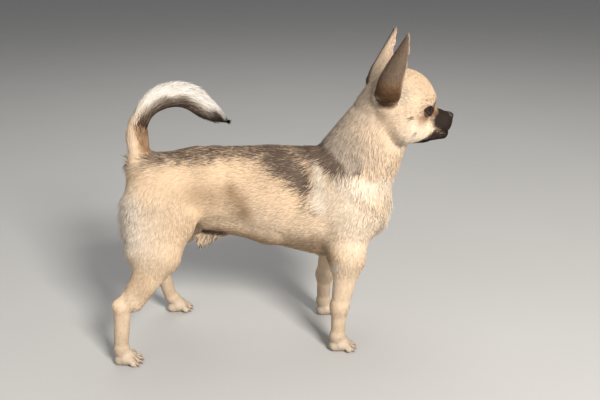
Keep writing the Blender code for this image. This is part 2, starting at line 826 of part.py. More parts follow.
# Ear: each station is a centre, a section radius and the half angle of the open section
EAR_STATIONS = [
    ((86.0, 18.5, 256.0), 7.0, 125),
    ((85.0, 22.5, 264.5), 11.5, 122),
    ((85.6, 24.5, 273.0), 14.6, 118),
    ((88.2, 24.0, 287.0), 14.2, 116),
    ((92.0, 23.5, 298.0), 12.4, 114),
    ((95.3, 24.5, 309.0), 9.4, 112),
    ((98.0, 26.5, 320.0), 5.6, 110),
    ((99.3, 28.3, 330.5), 1.4, 100),
]
EAR_OPENS = (1.0, 0.02, 0.0)
EAR_INNER = 0.66
EAR_THICK = 1.6
EAR_WIDE = 0.92
EAR_COLUMNS = 8


def ear_shell(side, name, collection):
    """One ear, a curved sheet rolled round an upright line and open to the front."""
    sign = SIDES[side]
    opening = Vector((EAR_OPENS[0], EAR_OPENS[1] * sign, 0)).normalized()
    across = Vector((-opening.y, opening.x, 0))
    bm = bmesh.new()
    rows = []
    for (x, y, z), radius, half_angle in EAR_STATIONS:
        centre = Vector((x, y * sign, z))
        row = []
        for column in range(EAR_COLUMNS + 1):
            share = 2 * column / EAR_COLUMNS - 1
            angle = math.radians(half_angle) * share * (1 if share * sign > 0 else EAR_INNER)
            point = centre - opening * radius * math.cos(angle) + across * radius * EAR_WIDE * math.sin(angle)
            row.append(bm.verts.new(point * MM))
        rows.append(row)
    for low, high in zip(rows, rows[1:]):
        for column in range(EAR_COLUMNS):
            bm.faces.new((low[column], low[column + 1], high[column + 1], high[column]))
    mesh = bpy.data.meshes.new(name)
    bm.to_mesh(mesh)
    bm.free()
    obj = new_object(name, mesh, collection)
    apply_modifier(obj, "SOLIDIFY", thickness=EAR_THICK * MM, offset=0.0, use_even_offset=True)
    apply_modifier(obj, "TRIANGULATE")
    bm = bmesh.new()
    bm.from_mesh(obj.data)
    bmesh.ops.recalc_face_normals(bm, faces=bm.faces[:])
    bm.to_mesh(obj.data)
    bm.free()
    return obj


def claws(name, collection):
    """The four claws of a paw, each a bent cone rooted in its toe."""
    heel, forward, across = paw_frame(name)
    up = Vector((0, 0, 1))
    out = []
    for index, (lane, reach) in enumerate(zip(TOE_LANES, TOE_REACH)):
        angle = math.radians(lane * TOE_SPREAD)
        way = Vector(forward * math.cos(angle) + across * math.sin(angle))
        toe = Vector(heel + across * lane * 3.6 + forward * 3) + way * (reach - 3.2)
        points = [
            toe + way * 0.8 + up * 5.2,
            toe + way * 3.3 + up * 5.0,
            toe + way * (3.3 + CLAW_LENGTH * 0.5) + up * 3.8,
            toe + way * (3.3 + CLAW_LENGTH * 0.85) + up * 1.4,
        ]
        mesh = tube(points, [1.5, 1.6, 1.2, 0.35], sides=4)
        out.append(new_object(f"{name}_claw_{index}", mesh, collection))
    return out


def paint(obj, material):
    """Gives a part its one material and smooth shading."""
    obj.data.materials.clear()
    obj.data.materials.append(material)
    obj.data.shade_smooth()
    return obj


def finish(name, colour, roughness):
    """One Principled material."""
    material = bpy.data.materials.new(name)
    material.use_nodes = True
    shader = next(n for n in material.node_tree.nodes if n.type == "BSDF_PRINCIPLED")
    shader.inputs["Base Color"].default_value = (*colour, 1)
    shader.inputs["Roughness"].default_value = roughness
    return material


def build_head(collection):
    """Head, nose, eyes and ears."""
    masses = TRUNK[:1] + NECK + SKULL
    for side in SIDES:
        masses = masses + sided(side, FACE)
    lids = [lid_ring(side, f"lid_{side}", collection) for side in SIDES]
    head = flesh("head", masses, 1.8, [HEAD_BASE], 1200, collection, lids)
    cutters = [mouth_cutter("mouth", collection), nose_leather("nose_bed", collection, GAP)]
    for side in SIDES:
        centre = eye_axes(side)[0]
        cutters.append(ball(centre, EYE_RADIUS + GAP, f"socket_{side}", collection, 14, 9))
    boolean(head, "DIFFERENCE", cutters)
    keep_largest(head)
    nose = nose_leather("nose", collection)
    boolean(nose, "DIFFERENCE", [nostril_cutter(side, "nostril", collection) for side in SIDES])
    parts = [head, keep_largest(nose)]
    for side in SIDES:
        parts.append(ball(eye_axes(side)[0], EYE_RADIUS, f"eye_{side}", collection, 14, 9))
    return parts


def build_ears(head, neck, collection):
    """Both ears, each cut to stand on the head with the usual gap."""
    ears = []
    for side in SIDES:
        ear = ear_shell(side, f"ear_{side}", collection)
        boolean(ear, "DIFFERENCE", [grown_copy(head, GAP, collection), grown_copy(neck, GAP, collection)])
        ears.append(keep_largest(ear))
    return ears


def build_trunk(collection, rng):
    """Torso and neck."""
    locks = []
    lies = {"rump": rump_lie(), "croup": croup_lie(), "chest": chest_lie(), "ruff": ruff_lie(), "sheath": sheath_lie()}
    for name, lie in lies.items():
        locks += grow_locks(lie.varied(rng), name, collection)
    masses = TRUNK + NECK + tail_masses(TAIL_FULLNESS)[:3]
    for side in SIDES:
        masses = masses + foreleg_masses(side)[:3] + sided(side, HIND_LEGS[side])[:3]
    cuts = [NECK_BASE.other_side(), TAIL_BASE.other_side()]
    torso = flesh("torso", masses, 2.8, cuts, 1080, collection, locks)
    blocks = []
    for side in SIDES:
        blocks.append(block(foreleg_block(side), 1, f"foreleg_block_{side}", collection))
        blocks.append(block(hind_block(side), 1, f"hind_block_{side}", collection))
    boolean(torso, "DIFFERENCE", blocks)
    keep_largest(torso)
    masses = TRUNK[:1] + NECK + SKULL
    for side in SIDES:
        masses = masses + foreleg_masses(side)[:2] + sided(side, FACE)[:1]
    neck = flesh("neck", masses, 2.4, [NECK_BASE, HEAD_BASE.other_side()], 420, collection)
    return [torso, neck]


def build_tail(collection, rng):
    """The tail with its locks, parted into three lengths."""
    chain = tail_masses(TAIL_FULLNESS)
    tail = rough_flesh("tail", chain, 2.0, [TAIL_BASE], 260, collection)
    locks = grow_locks(tail_lie().varied(rng), "tail_lock", collection)
    locks += grow_locks(tail_tuft_lie(), "tail_tuft", collection)
    boolean(tail, "UNION", locks, "MANIFOLD")
    lengths = {
        "tail_root": [TAIL_BASE, TAIL_BEND.other_side()],
        "tail_middle": [TAIL_BEND, TAIL_END.other_side()],
        "tail_tip": [TAIL_END],
    }
    parts = []
    for name, cuts in lengths.items():
        part = new_object(name, tail.data.copy(), collection)
        boolean(part, "INTERSECT", [block(cuts, -1, "block", collection)])
        parts.append(keep_largest(part))
    bpy.data.objects.remove(tail)
    return parts


def build_leg(side, collection):
    """One side's foreleg and hind leg."""
    fore, hind = foreleg_masses(side), sided(side, HIND_LEGS[side])
    fore_cuts, hind_cuts, bend = foreleg_block(side), hind_block(side), knee(side)
    parts = [
        flesh(f"upper_arm_{side}", TRUNK[:1] + fore[:4], 2.2, fore_cuts + [ELBOW.other_side()],
              320, collection),
        flesh(f"forearm_{side}", TRUNK[:1] + fore, 1.8, fore_cuts + [ELBOW, PAW_TOP.other_side()],
              300, collection),
        flesh(f"thigh_{side}", TRUNK[1:3] + hind[:4], 2.4, hind_cuts + [bend.other_side()],
              380, collection),
        flesh(f"lower_leg_{side}", hind, 2.0, hind_cuts[1:] + [bend, hock(side).other_side()],
              340, collection),
        flesh(f"rear_pastern_{side}", hind, 1.8, [hock(side), PAW_TOP.other_side()],
              200, collection),
    ]
    for name, leg in ((f"forepaw_{side}", fore), (f"hindpaw_{side}", hind)):
        extras = claws(name, collection)
        parts.append(
            flesh(name, paw_masses(name) + leg[-1:], 1.3, [PAW_TOP, FLOOR], 310, collection, extras)
        )
    return parts


FINISHES = {
    "coat": ((0.79, 0.66, 0.49), 0.85),
    "saddle": ((0.62, 0.50, 0.38), 0.85),
    "ear_fur": ((0.42, 0.32, 0.26), 0.85),
    "tail_fur": ((0.66, 0.57, 0.47), 0.9),
    "nose_leather": ((0.035, 0.03, 0.032), 0.4),
    "eyeball": ((0.05, 0.025, 0.015), 0.08),
}
FINISH_OF = {
    "neck": "saddle", "ear_right": "ear_fur", "ear_left": "ear_fur", "nose": "nose_leather",
    "eye_right": "eyeball", "eye_left": "eyeball", "tail_root": "tail_fur",
    "tail_middle": "tail_fur", "tail_tip": "tail_fur",
}


def centre_on_floor(parts):
    """Moves every part so that the dog's box is centred on Z. The floor stays at zero."""
    corners = np.array([tuple(vert.co) for part in parts for vert in part.data.vertices])
    middle = (corners.min(axis=0) + corners.max(axis=0)) / 2
    shift = Matrix.Translation((-middle[0], -middle[1], 0))
    for part in parts:
        part.data.transform(shift)
        part.data.update()


def main():
    """Clears the scene and builds the dog."""
    for obj in list(bpy.data.objects):
        bpy.data.objects.remove(obj)
    collection = bpy.data.collections.new("chihuahua")
    bpy.context.scene.collection.children.link(collection)
    parts = build_head(collection)
    rng = np.random.default_rng(7)
    torso, neck = build_trunk(collection, rng)
    parts += [torso, neck] + build_ears(parts[0], neck, collection)
    parts += build_tail(collection, rng)
    for side in SIDES:
        parts += build_leg(side, collection)
    finishes = {name: finish(name, *look) for name, look in FINISHES.items()}
    for part in parts:
        paint(part, finishes[FINISH_OF.get(part.name, "coat")])
    centre_on_floor(parts)


if __name__ == "__main__":
    main()
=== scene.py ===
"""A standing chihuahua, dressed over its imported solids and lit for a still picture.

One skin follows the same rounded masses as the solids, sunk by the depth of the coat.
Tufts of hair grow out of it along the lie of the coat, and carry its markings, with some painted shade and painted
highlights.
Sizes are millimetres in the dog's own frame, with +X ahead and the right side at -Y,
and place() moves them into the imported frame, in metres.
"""

import json
import logging
import math
from dataclasses import dataclass, field
from enum import Enum
from typing import Callable, ClassVar, Sequence

import bmesh
import bpy
import numpy as np
from mathutils import Matrix, Vector
from mathutils.bvhtree import BVHTree

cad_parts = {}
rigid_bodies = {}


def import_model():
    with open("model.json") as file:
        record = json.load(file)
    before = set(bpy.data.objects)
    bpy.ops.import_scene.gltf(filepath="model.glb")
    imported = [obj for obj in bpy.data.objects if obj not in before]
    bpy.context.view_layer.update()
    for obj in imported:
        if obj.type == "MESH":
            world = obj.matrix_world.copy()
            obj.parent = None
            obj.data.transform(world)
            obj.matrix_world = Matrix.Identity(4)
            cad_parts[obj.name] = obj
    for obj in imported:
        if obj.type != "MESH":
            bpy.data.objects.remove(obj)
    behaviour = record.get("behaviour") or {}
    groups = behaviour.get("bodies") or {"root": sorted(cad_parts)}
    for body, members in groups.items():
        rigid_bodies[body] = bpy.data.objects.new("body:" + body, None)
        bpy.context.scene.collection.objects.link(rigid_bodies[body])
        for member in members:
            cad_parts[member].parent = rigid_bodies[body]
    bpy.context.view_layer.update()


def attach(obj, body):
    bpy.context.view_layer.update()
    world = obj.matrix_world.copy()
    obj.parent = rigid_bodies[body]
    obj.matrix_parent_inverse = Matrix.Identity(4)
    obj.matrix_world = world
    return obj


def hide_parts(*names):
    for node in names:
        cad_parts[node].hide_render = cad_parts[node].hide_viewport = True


LOG = logging.getLogger("chihuahua")
MM = 0.001
SHIFT = np.array((20.108, -5.776, 0.0))  # from the dog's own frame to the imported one
SIDES = {"right": -1, "left": 1}
SEED = 11
Triple = tuple[float, float, float]


def place(points: np.ndarray) -> np.ndarray:
    """Points of the dog's own frame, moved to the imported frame, in metres."""
    return (np.asarray(points, float) + SHIFT) * MM


def ease(low: float, high: float, value: np.ndarray) -> np.ndarray:
    """A smooth step from 0 at low to 1 at high."""
    share = np.clip((value - low) / (high - low), 0, 1)
    return share * share * (3 - 2 * share)


def unit(vectors: np.ndarray) -> np.ndarray:
    """The vectors at length one."""
    return vectors / np.maximum(np.linalg.norm(vectors, axis=-1, keepdims=True), 1e-9)


def smooth_rows(rows: Sequence[Sequence[float]], steps: int) -> np.ndarray:
    """Rows of numbers along a Catmull-Rom curve through the given ones.

    Args:
        rows: The rows that the curve passes through.
        steps: How many rows each stretch is divided into.

    Returns:
        The finer rows, with the last given row at their end.
    """
    given = np.array(rows, float)
    padded = np.vstack([2 * given[0] - given[1], given, 2 * given[-1] - given[-2]])
    out = []
    for index in range(1, len(padded) - 2):
        before, here, after, later = padded[index - 1:index + 3]
        for step in range(steps):
            t = step / steps
            bend = (2 * before - 5 * here + 4 * after - later) * t ** 2
            twist = (3 * here - before - 3 * after + later) * t ** 3
            out.append((2 * here + (after - before) * t + bend + twist) / 2)
    return np.vstack([*out, given[-1]])


# Coat and flesh

class Hair(Enum):
    """Kinds of coat: length, depth over the skin, tuft width, tufts per square millimetre."""

    TRUNK = (9.5, 1.3, 0.58, 0.90)
    NECK = (13.0, 2.6, 0.56, 1.0)
    BELLY = (9.0, 1.2, 0.6, 0.7)
    SKULL = (4.6, 0.8, 0.42, 1.7)
    MUZZLE = (2.3, 0.5, 0.34, 2.4)
    CHEEK = (5.6, 1.0, 0.44, 1.6)
    LIMB = (7.5, 1.0, 0.55, 0.95)
    SHANK = (5.0, 0.7, 0.48, 1.2)
    PAW = (3.4, 0.7, 0.4, 1.7)
    TAIL = (20.0, 0.6, 0.62, 1.45)
    EAR = (3.6, 0.0, 0.36, 2.2)


@dataclass
class Mass:
    """One rounded volume of flesh, swept from ball a to ball b and squeezed across."""

    a: Triple
    a_radius: float
    b: Triple
    b_radius: float
    wide: float = 1.0
    blend: float = 8.0
    hair: Hair = Hair.TRUNK
    lie: Triple | None = None  # which way its coat runs, from a to b unless given

    def ends(self) -> tuple[np.ndarray, np.ndarray]:
        """Both ball centres as arrays."""
        return np.array(self.a, float), np.array(self.b, float)

    def reach(self) -> tuple[np.ndarray, np.ndarray]:
        """The corners of the box round both balls."""
        a, b = self.ends()
        low = np.minimum(a - self.a_radius, b - self.b_radius)
        return low, np.maximum(a + self.a_radius, b + self.b_radius)

    def flow(self) -> np.ndarray:
        """The direction of its coat, at length one."""
        a, b = self.ends()
        return unit(np.array(self.lie, float) if self.lie else b - a)

    def distance(self, points: np.ndarray) -> np.ndarray:
        """Distance from each point to the surface, below zero inside."""
        a, b = self.ends()
        axis, away = b - a, points - a
        along = np.clip(away @ axis / max(axis @ axis, 1e-9), 0, 1)
        offset = away - along[:, None] * axis
        offset[:, 1] /= self.wide
        radius = self.a_radius + along * (self.b_radius - self.a_radius)
        return (np.linalg.norm(offset, axis=1) - radius) * min(1.0, self.wide)

    def sided(self, sign: int) -> "Mass":
        """The same mass on one side of the dog: tables are written for y above zero."""
        a, b = (self.a[0], self.a[1] * sign, self.a[2]), (self.b[0], self.b[1] * sign, self.b[2])
        lie = (self.lie[0], self.lie[1] * sign, self.lie[2]) if self.lie else None
        return Mass(a, self.a_radius, b, self.b_radius, self.wide, self.blend, self.hair, lie)

    def hull_into(self, bm: bmesh.types.BMesh) -> None:
        """Adds the hull of both end balls to a bmesh."""
        own = bmesh.new()
        for centre, radius in zip(self.ends(), (self.a_radius, self.b_radius)):
            size = Matrix.Diagonal((radius, radius * self.wide, radius, 1))
            spot = Matrix.Translation(Vector(centre))
            bmesh.ops.create_icosphere(own, subdivisions=3, radius=1, matrix=spot @ size)
        bmesh.ops.delete(own, geom=own.edges[:], context="EDGES_FACES")
        bmesh.ops.convex_hull(own, input=own.verts)
        bmesh.ops.delete(own, geom=[v for v in own.verts if not v.link_faces], context="VERTS")
        mesh = bpy.data.meshes.new("hull")
        own.to_mesh(mesh)
        own.free()
        bm.from_mesh(mesh)
        bpy.data.meshes.remove(mesh)


@dataclass
class EarSheet:
    """The two ears, each a curved sheet rolled round an upright line and open to the front."""

    # centre, radius of the section, half angle of the wall on its outer side
    stations: tuple = (
        (86.0, 18.5, 256.0, 7.0, 125), (85.0, 22.5, 264.5, 11.5, 122),
        (85.6, 24.5, 273.0, 14.6, 118), (88.2, 24.0, 287.0, 14.2, 116),
        (92.0, 23.5, 298.0, 12.4, 114), (95.3, 24.5, 309.0, 9.4, 112),
        (98.0, 26.5, 320.0, 5.6, 110), (99.1, 28.1, 329.0, 1.5, 100),
    )
    opens: Triple = (1.0, 0.02, 0.0)
    inner_share: float = 0.66
    wide: float = 0.92
    columns: int = 24
    steps: int = 6
    thick: tuple[float, float] = (1.7, 1.1)  # at the base and at the tip
    shell: float = 1.9  # half thickness until the last remesh
    rough: bool = True

    def grid(self, side: str) -> np.ndarray:
        """The mid-surface of one ear, as rows of points from the base up."""
        sign = SIDES[side]
        opening = unit(np.array((self.opens[0], self.opens[1] * sign, 0)))
        across = np.array((-opening[1], opening[0], 0))
        share = np.linspace(-1, 1, self.columns + 1)
        share = share * np.where(share * sign > 0, 1, self.inner_share)
        rows = []
        for x, y, z, radius, half in smooth_rows(self.stations, self.steps):
            angle = np.radians(half) * share
            centre = np.array((x, y * sign, z))
            back = opening * (radius * np.cos(angle))[:, None]
            aside = across * (radius * self.wide * np.sin(angle))[:, None]
            rows.append(centre - back + aside)
        return np.array(rows)

    def __post_init__(self) -> None:
        """Builds the search trees that distances are read from."""
        self.trees, self.grids = {}, {}
        for side in SIDES:
            grid = self.grid(side)
            rows, columns = grid.shape[:2]
            faces = []
            for row in range(rows - 1):
                for column in range(columns - 1):
                    here = row * columns + column
                    faces.append((here, here + 1, here + columns + 1, here + columns))
            self.grids[side] = grid
            self.trees[side] = BVHTree.FromPolygons(grid.reshape(-1, 3).tolist(), faces)

    def nearest(self, points: np.ndarray) -> tuple[np.ndarray, np.ndarray]:
        """Distance to the nearer sheet's surface, and whether a point is on its hollow side."""
        far, hollow = np.empty(len(points)), np.zeros(len(points))
        for index, point in enumerate(points):
            side = "right" if point[1] < 0 else "left"
            spot, normal, _, away = self.trees[side].find_nearest(point)
            share = min(max((spot.z - 262) / 66, 0), 1)
            half = (self.thick[0] + share * (self.thick[1] - self.thick[0])) / 2
            far[index] = away - (self.shell if self.rough else half)
            hollow[index] = (Vector(point) - spot).dot(normal) > 0
        return far, hollow

    def shell_into(self, bm: bmesh.types.BMesh) -> None:
        """Adds a rough closed shell of each ear to a bmesh."""
        for grid in self.grids.values():
            down, over = np.gradient(grid, axis=0), np.gradient(grid, axis=1)
            normal = unit(np.cross(over, down))
            sheets = [grid + normal * self.shell, grid - normal * self.shell]
            rows, columns = grid.shape[:2]
            verts = [[[bm.verts.new(p) for p in row] for row in sheet] for sheet in sheets]
            front, back = verts
            for r in range(rows - 1):
                for c in range(columns - 1):
                    bm.faces.new((front[r][c], front[r][c + 1], front[r + 1][c + 1], front[r + 1][c]))
                    bm.faces.new((back[r][c], back[r + 1][c], back[r + 1][c + 1], back[r][c + 1]))
            rim = [(0, c) for c in range(columns)] + [(r, columns - 1) for r in range(1, rows)]
            rim += [(rows - 1, c) for c in range(columns - 2, -1, -1)]
            rim += [(r, 0) for r in range(rows - 2, 0, -1)]
            for (r, c), (s, d) in zip(rim, rim[1:] + rim[:1]):
                bm.faces.new((front[s][d], front[r][c], back[r][c], back[s][d]))


@dataclass
class Eye:
    """One eye: its ball, its lids and where it looks."""

    side: str
    centre: Triple = (119.5, 18.5, 255.0)
    radius: float = 8.4
    gaze: Triple = (0.80, 0.60, 0.02)
    lid_width: float = 38.0  # degrees from the gaze to each corner
    lid_height: float = 23.0
    corner: float = 0.32  # how much farther the rear corner reaches
    tilt: float = 15.0  # degrees by which the rear corner stands above the front one
    iris: float = 50.0
    pupil: float = 21.0

    def axes(self) -> tuple[np.ndarray, np.ndarray, np.ndarray, np.ndarray]:
        """Its centre, gaze, level axis and upward axis."""
        flip = np.array((1, SIDES[self.side], 1))
        gaze = unit(np.array(self.gaze) * flip)
        level = unit(np.cross(gaze, (0, 0, 1)))
        turn = math.radians(self.tilt) * -SIDES[self.side]
        level = level * math.cos(turn) + np.cross(level, gaze) * math.sin(turn)
        return np.array(self.centre) * flip, gaze, level, np.cross(level, gaze)

    def ring(self, grow: float, lift: float, count: int = 20) -> np.ndarray:
        """Points round the lids' edge, spread by grow degrees and lifted off the ball."""
        centre, gaze, level, up = self.axes()
        turn = np.arange(count) * 2 * math.pi / count
        rear = np.clip(np.cos(turn) * -SIDES[self.side], 0, 1)
        wide = (self.lid_width + grow) * np.cos(turn) * (1 + self.corner * rear)
        pointed = np.sin(turn) * np.abs(np.sin(turn)) ** (0.35 * max(0.0, 1 - grow / 20))
        high = (self.lid_height + grow) * pointed
        spread = np.radians(np.hypot(wide, high))[:, None]
        around = unit(level * wide[:, None] + up * high[:, None])
        return centre + (gaze * np.cos(spread) + around * np.sin(spread)) * (self.radius + lift)

    def fold(self) -> list[Mass]:
        """The crease above the upper lid and the one under the lower lid."""
        ring = self.ring(24, 2.2)
        pairs = list(zip(ring, np.roll(ring, -1, axis=0)))
        return [Mass(tuple(a), 0.55, tuple(b), 0.55, 1.0, 1.6, Hair.MUZZLE) for a, b in pairs]


@dataclass
class Body:
    """The dog's flesh, as a blended field of masses, with its ears, sockets and mouth."""

    voxel: float = 1.65
    ears: EarSheet = field(default_factory=EarSheet)
    eyes: tuple[Eye, ...] = (Eye("right"), Eye("left"))
    nose_bed: tuple = ((149.6, 0.0, 244.0), 5.0)
    mouth: tuple = (
        (154.0, 0, 236.2), (151, -5, 234), (145, -9.5, 232.5), (137, -12.5, 231), (129, -14.5, 233),
    )
    # bone line of the tail: x, z, radius of its core, reach of the hair outside and inside the curl
    tail: tuple = (
        (-159.5, 203.5, 12.6, 15.5, 14.5), (-160.8, 217.0, 10.9, 13.2, 14.2),
        (-161.2, 231.2, 9.2, 11.2, 10.7), (-157.0, 244.6, 8.2, 9.8, 9.5),
        (-150.1, 256.0, 8.8, 10.9, 10.0), (-139.4, 264.8, 10.2, 12.7, 11.6),
        (-126.2, 269.3, 10.9, 13.6, 12.4), (-113.0, 268.4, 11.0, 14.2, 13.0),
        (-101.2, 262.2, 10.0, 12.6, 12.0), (-91.0, 255.4, 8.2, 10.2, 10.2),
        (-82.0, 249.2, 4.9, 6.2, 6.2), (-74.0, 244.2, 1.7, 2.6, 2.6),
    )
    toe_lanes: tuple = (-1.5, -0.5, 0.5, 1.5)
    toe_spread: float = 9.0
    toe_reach: tuple = (11.5, 13.8, 13.8, 11.5)
    claw_length: float = 3.9
    # where each paw stands, and its turn on the ground in degrees
    paws: tuple = (
        ("forepaw_right", 37.0, -39.0, 0.0), ("forepaw_left", 31.0, 39.0, 4.0),
        ("hindpaw_right", -186.5, -48.0, -3.0), ("hindpaw_left", -142.0, 59.0, 6.0),
    )

    def trunk(self) -> list[Mass]:
        """Ribs, belly, rump, withers, breastbone, flank and sheath."""
        return [
            Mass((37, 0, 154.5), 55.5, (-30, 0, 164.5), 45, 0.80, 12, Hair.TRUNK, (-1, 0, -0.28)),
            Mass((-30, 0, 169.5), 43.5, (-100, 0, 176), 39, 0.86, 10, Hair.TRUNK, (-1, 0, -0.2)),
            Mass((-100, 0, 178.3), 36.4, (-146, 0, 182.5), 30, 0.95, 10, Hair.TRUNK, (-1, 0, -0.3)),
            Mass((10, 0, 202), 13, (-80, 0, 203), 12, 1.2, 10, Hair.TRUNK, (-1, 0, -0.12)),
            Mass((27, 0, 117), 22, (-32, 0, 129), 17, 1.0, 10, Hair.BELLY, (-1, 0, -0.1)),
            Mass((-32, 0, 130), 17, (-92, 0, 143), 15, 1.3, 10, Hair.BELLY, (-1, 0, -0.1)),
            Mass((-80, 0, 130), 10.5, (-103, 0, 119), 7.2, 0.9, 7, Hair.BELLY, (-0.1, 0, -1)),
        ]

    def tail_chain(self) -> list[Mass]:
        """The tail's core, from the croup to its end."""
        (x, z, core), hair = self.tail[0][:3], Hair.TAIL
        out = [Mass((-150, 0, 188), 15, (x, 0, z), core + 1.5, 0.9, 9, Hair.NECK, (-0.25, 0, 1))]
        rows = smooth_rows(self.tail, 3).tolist()
        for (ax, az, a, *_), (bx, bz, b, *_) in zip(rows, rows[1:]):
            out.append(Mass((ax, 0, az), a, (bx, 0, bz), b, 0.76, 1.5, hair))
        return out

    def head(self) -> list[Mass]:
        """Neck, skull, muzzle and lower jaw."""
        return [
            Mass((52, 0, 184), 47, (85, 0, 245), 34.5, 0.78, 9, Hair.NECK, (-0.28, 0, -0.96)),
            Mass((97, 0, 258), 34, (101.5, 0, 258.7), 34.3, 0.93, 8, Hair.SKULL, (-1, 0, 0.12)),
            Mass((124, 0, 243), 14.5, (146, 0, 240.5), 9.2, 1.08, 5, Hair.MUZZLE, (-1, 0, 0.05)),
            Mass((117, 0, 227), 10.5, (144.5, 0, 227.3), 7, 1.25, 3, Hair.MUZZLE, (-1, 0, -0.15)),
        ]

    def face(self) -> list[Mass]:
        """Cheek, upper lip, brow and root of the ear, for one side."""
        return [
            Mass((101, 17, 237), 17, (123, 11, 232), 11, 1.0, 7, Hair.CHEEK, (-1, 0, -0.45)),
            Mass((127, 7.5, 238), 8.5, (145.5, 5.8, 236), 6.4, 1.0, 4, Hair.MUZZLE, (-1, 0, -0.3)),
            Mass((114, 17, 263), 8.5, (126, 9, 264), 6.5, 1.0, 6, Hair.SKULL, (-1, 0.3, 0.3)),
            Mass((83, 19, 261), 10.5, (87, 22, 270), 8, 1.0, 6, Hair.CHEEK, (-0.6, 0.2, -0.3)),
        ]

    def foreleg(self, side: str) -> list[Mass]:
        """Shoulder blade, upper arm, forearm, elbow and pastern."""
        table = [
            ((28, 27, 188), 18, (54, 30, 152), 22, 0.80, 14, Hair.TRUNK, (-0.45, 0, -1), 0.0),
            ((55, 31, 149), 20, (44, 37, 112), 17, 0.86, 12, Hair.LIMB, (-0.35, 0, -1), 0.3),
            ((46, 38, 104), 15.0, (38.5, 39, 52), 9.4, 0.88, 16, Hair.SHANK, None, 0.8),
            ((37, 38, 104), 5.5, (34, 38.5, 98), 4.6, 0.9, 5, Hair.LIMB, (-0.5, 0, -1), 0.8),
            ((38, 39, 52), 9.2, (37, 39, 20), 7.6, 0.92, 6, Hair.SHANK, None, 1.0),
        ]
        back = {"right": 0.0, "left": -7.0}[side]
        out = []
        for a, ra, b, rb, wide, blend, hair, lie, share in table:
            a = (a[0] + back * share, a[1], a[2])
            b = (b[0] + back * min(1.0, share + 0.2), b[1], b[2])
            out.append(Mass(a, ra, b, rb, wide, blend, hair, lie).sided(SIDES[side]))
        return out

    def hind_leg(self, side: str) -> list[Mass]:
        """Thigh, knee, lower leg, hock and rear pastern."""
        down = (-0.4, 0, -1)
        if side == "right":
            table = [
                Mass((-142, 27, 165), 36, (-153, 37, 125), 24.5, 0.66, 13, Hair.TRUNK, down),
                Mass((-128, 34, 147), 20, (-142, 38, 121), 19, 0.68, 10, Hair.LIMB, down),
                Mass((-144.5, 39, 115), 19.5, (-171, 46, 72), 12, 0.76, 9, Hair.LIMB),
                Mass((-168, 45, 91), 3.6, (-186.5, 47, 70), 5.0, 0.8, 4, Hair.LIMB),
                Mass((-183, 47, 64), 9.2, (-187.5, 48, 22), 7.7, 0.92, 6, Hair.SHANK),
            ]
        else:
            table = [
                Mass((-132, 27, 168), 35, (-128, 37, 130), 25, 0.66, 13, Hair.TRUNK, down),
                Mass((-114, 34, 146), 22, (-121, 38, 124), 19, 0.66, 10, Hair.LIMB, down),
                Mass((-127, 39, 118), 19.5, (-151, 48, 76), 10.2, 0.76, 9, Hair.LIMB),
                Mass((-153, 46, 86), 4.5, (-159, 49, 75), 4.8, 0.8, 5, Hair.LIMB),
                Mass((-156, 50, 68), 9.2, (-147, 57, 22), 7.6, 0.92, 6, Hair.SHANK),
            ]
        return [mass.sided(SIDES[side]) for mass in table]

    def paw_frame(self, name: str) -> tuple[np.ndarray, np.ndarray, np.ndarray]:
        """Where a paw stands, and its ways ahead and across."""
        _, x, y, turn = next(paw for paw in self.paws if paw[0] == name)
        angle = math.radians(turn)
        ahead = np.array((math.cos(angle), math.sin(angle), 0.0))
        return np.array((x, y, 0.0)), ahead, np.array((-ahead[1], ahead[0], 0.0))

    def toes(self, name: str) -> list[tuple[np.ndarray, np.ndarray, float]]:
        """Each toe's root on the ground, its way and its reach."""
        heel, ahead, across = self.paw_frame(name)
        out = []
        for lane, reach in zip(self.toe_lanes, self.toe_reach):
            angle = math.radians(lane * self.toe_spread)
            way = ahead * math.cos(angle) + across * math.sin(angle)
            out.append((heel + across * lane * 3.6 + ahead * 3, way, reach))
        return out

    def paw(self, name: str) -> list[Mass]:
        """The foot above its pads, and four toes of two masses each."""
        heel, ahead, across = self.paw_frame(name)
        up = np.array((0.0, 0.0, 1.0))
        lie = tuple(ahead * 0.7 - up)
        out = [
            Mass(tuple(heel - ahead + up * 16), 8.0, tuple(heel + ahead * 3 + up * 9.5), 8.4,
                 0.95, 5, Hair.PAW, lie),
            Mass(tuple(heel - ahead * 3.5 + up * 6), 6.2, tuple(heel + ahead * 4 + up * 5), 6.2,
                 1.2, 3, Hair.PAW, lie),
        ]
        for root, way, reach in self.toes(name):
            knuckle = tuple(root + way * reach * 0.45 + up * 8.4)
            tip = tuple(root + way * (reach - 3.2) + up * 4.3)
            out.append(Mass(tuple(root + up * 8), 4.6, knuckle, 4.2, 0.95, 1.6, Hair.PAW))
            out.append(Mass(knuckle, 4.1, tip, 3.9, 0.95, 1.2, Hair.PAW))
        return out

    def __post_init__(self) -> None:
        """Gathers every mass in the order in which they blend."""
        masses = self.trunk() + self.tail_chain() + self.head()
        for side, sign in SIDES.items():
            masses += [mass.sided(sign) for mass in self.face()]
            masses += self.foreleg(side) + self.hind_leg(side)
        for name, *_ in self.paws:
            masses += self.paw(name)
        self.masses = masses
        grooves = [mass for eye in self.eyes for mass in eye.fold()]
        line = smooth_rows(self.mouth, 5)
        line = np.vstack([line[:0:-1] * (1, -1, 1), line])
        for a, b in zip(line, line[1:]):
            grooves.append(Mass(tuple(a), 0.75, tuple(b), 0.75, 1.0, 1.0, Hair.MUZZLE))
        self.grooves = grooves

    def distance(self, points: np.ndarray, fine: bool) -> np.ndarray:
        """Signed distance to the body: below zero is inside.

        Args:
            points: The points to measure, close to one another.
            fine: Whether lids, folds and the line of the mouth count too.

        Returns:
            One distance per point, in millimetres.
        """
        low, high = points.min(axis=0) - 13, points.max(axis=0) + 13
        total = np.full(len(points), 1e3)

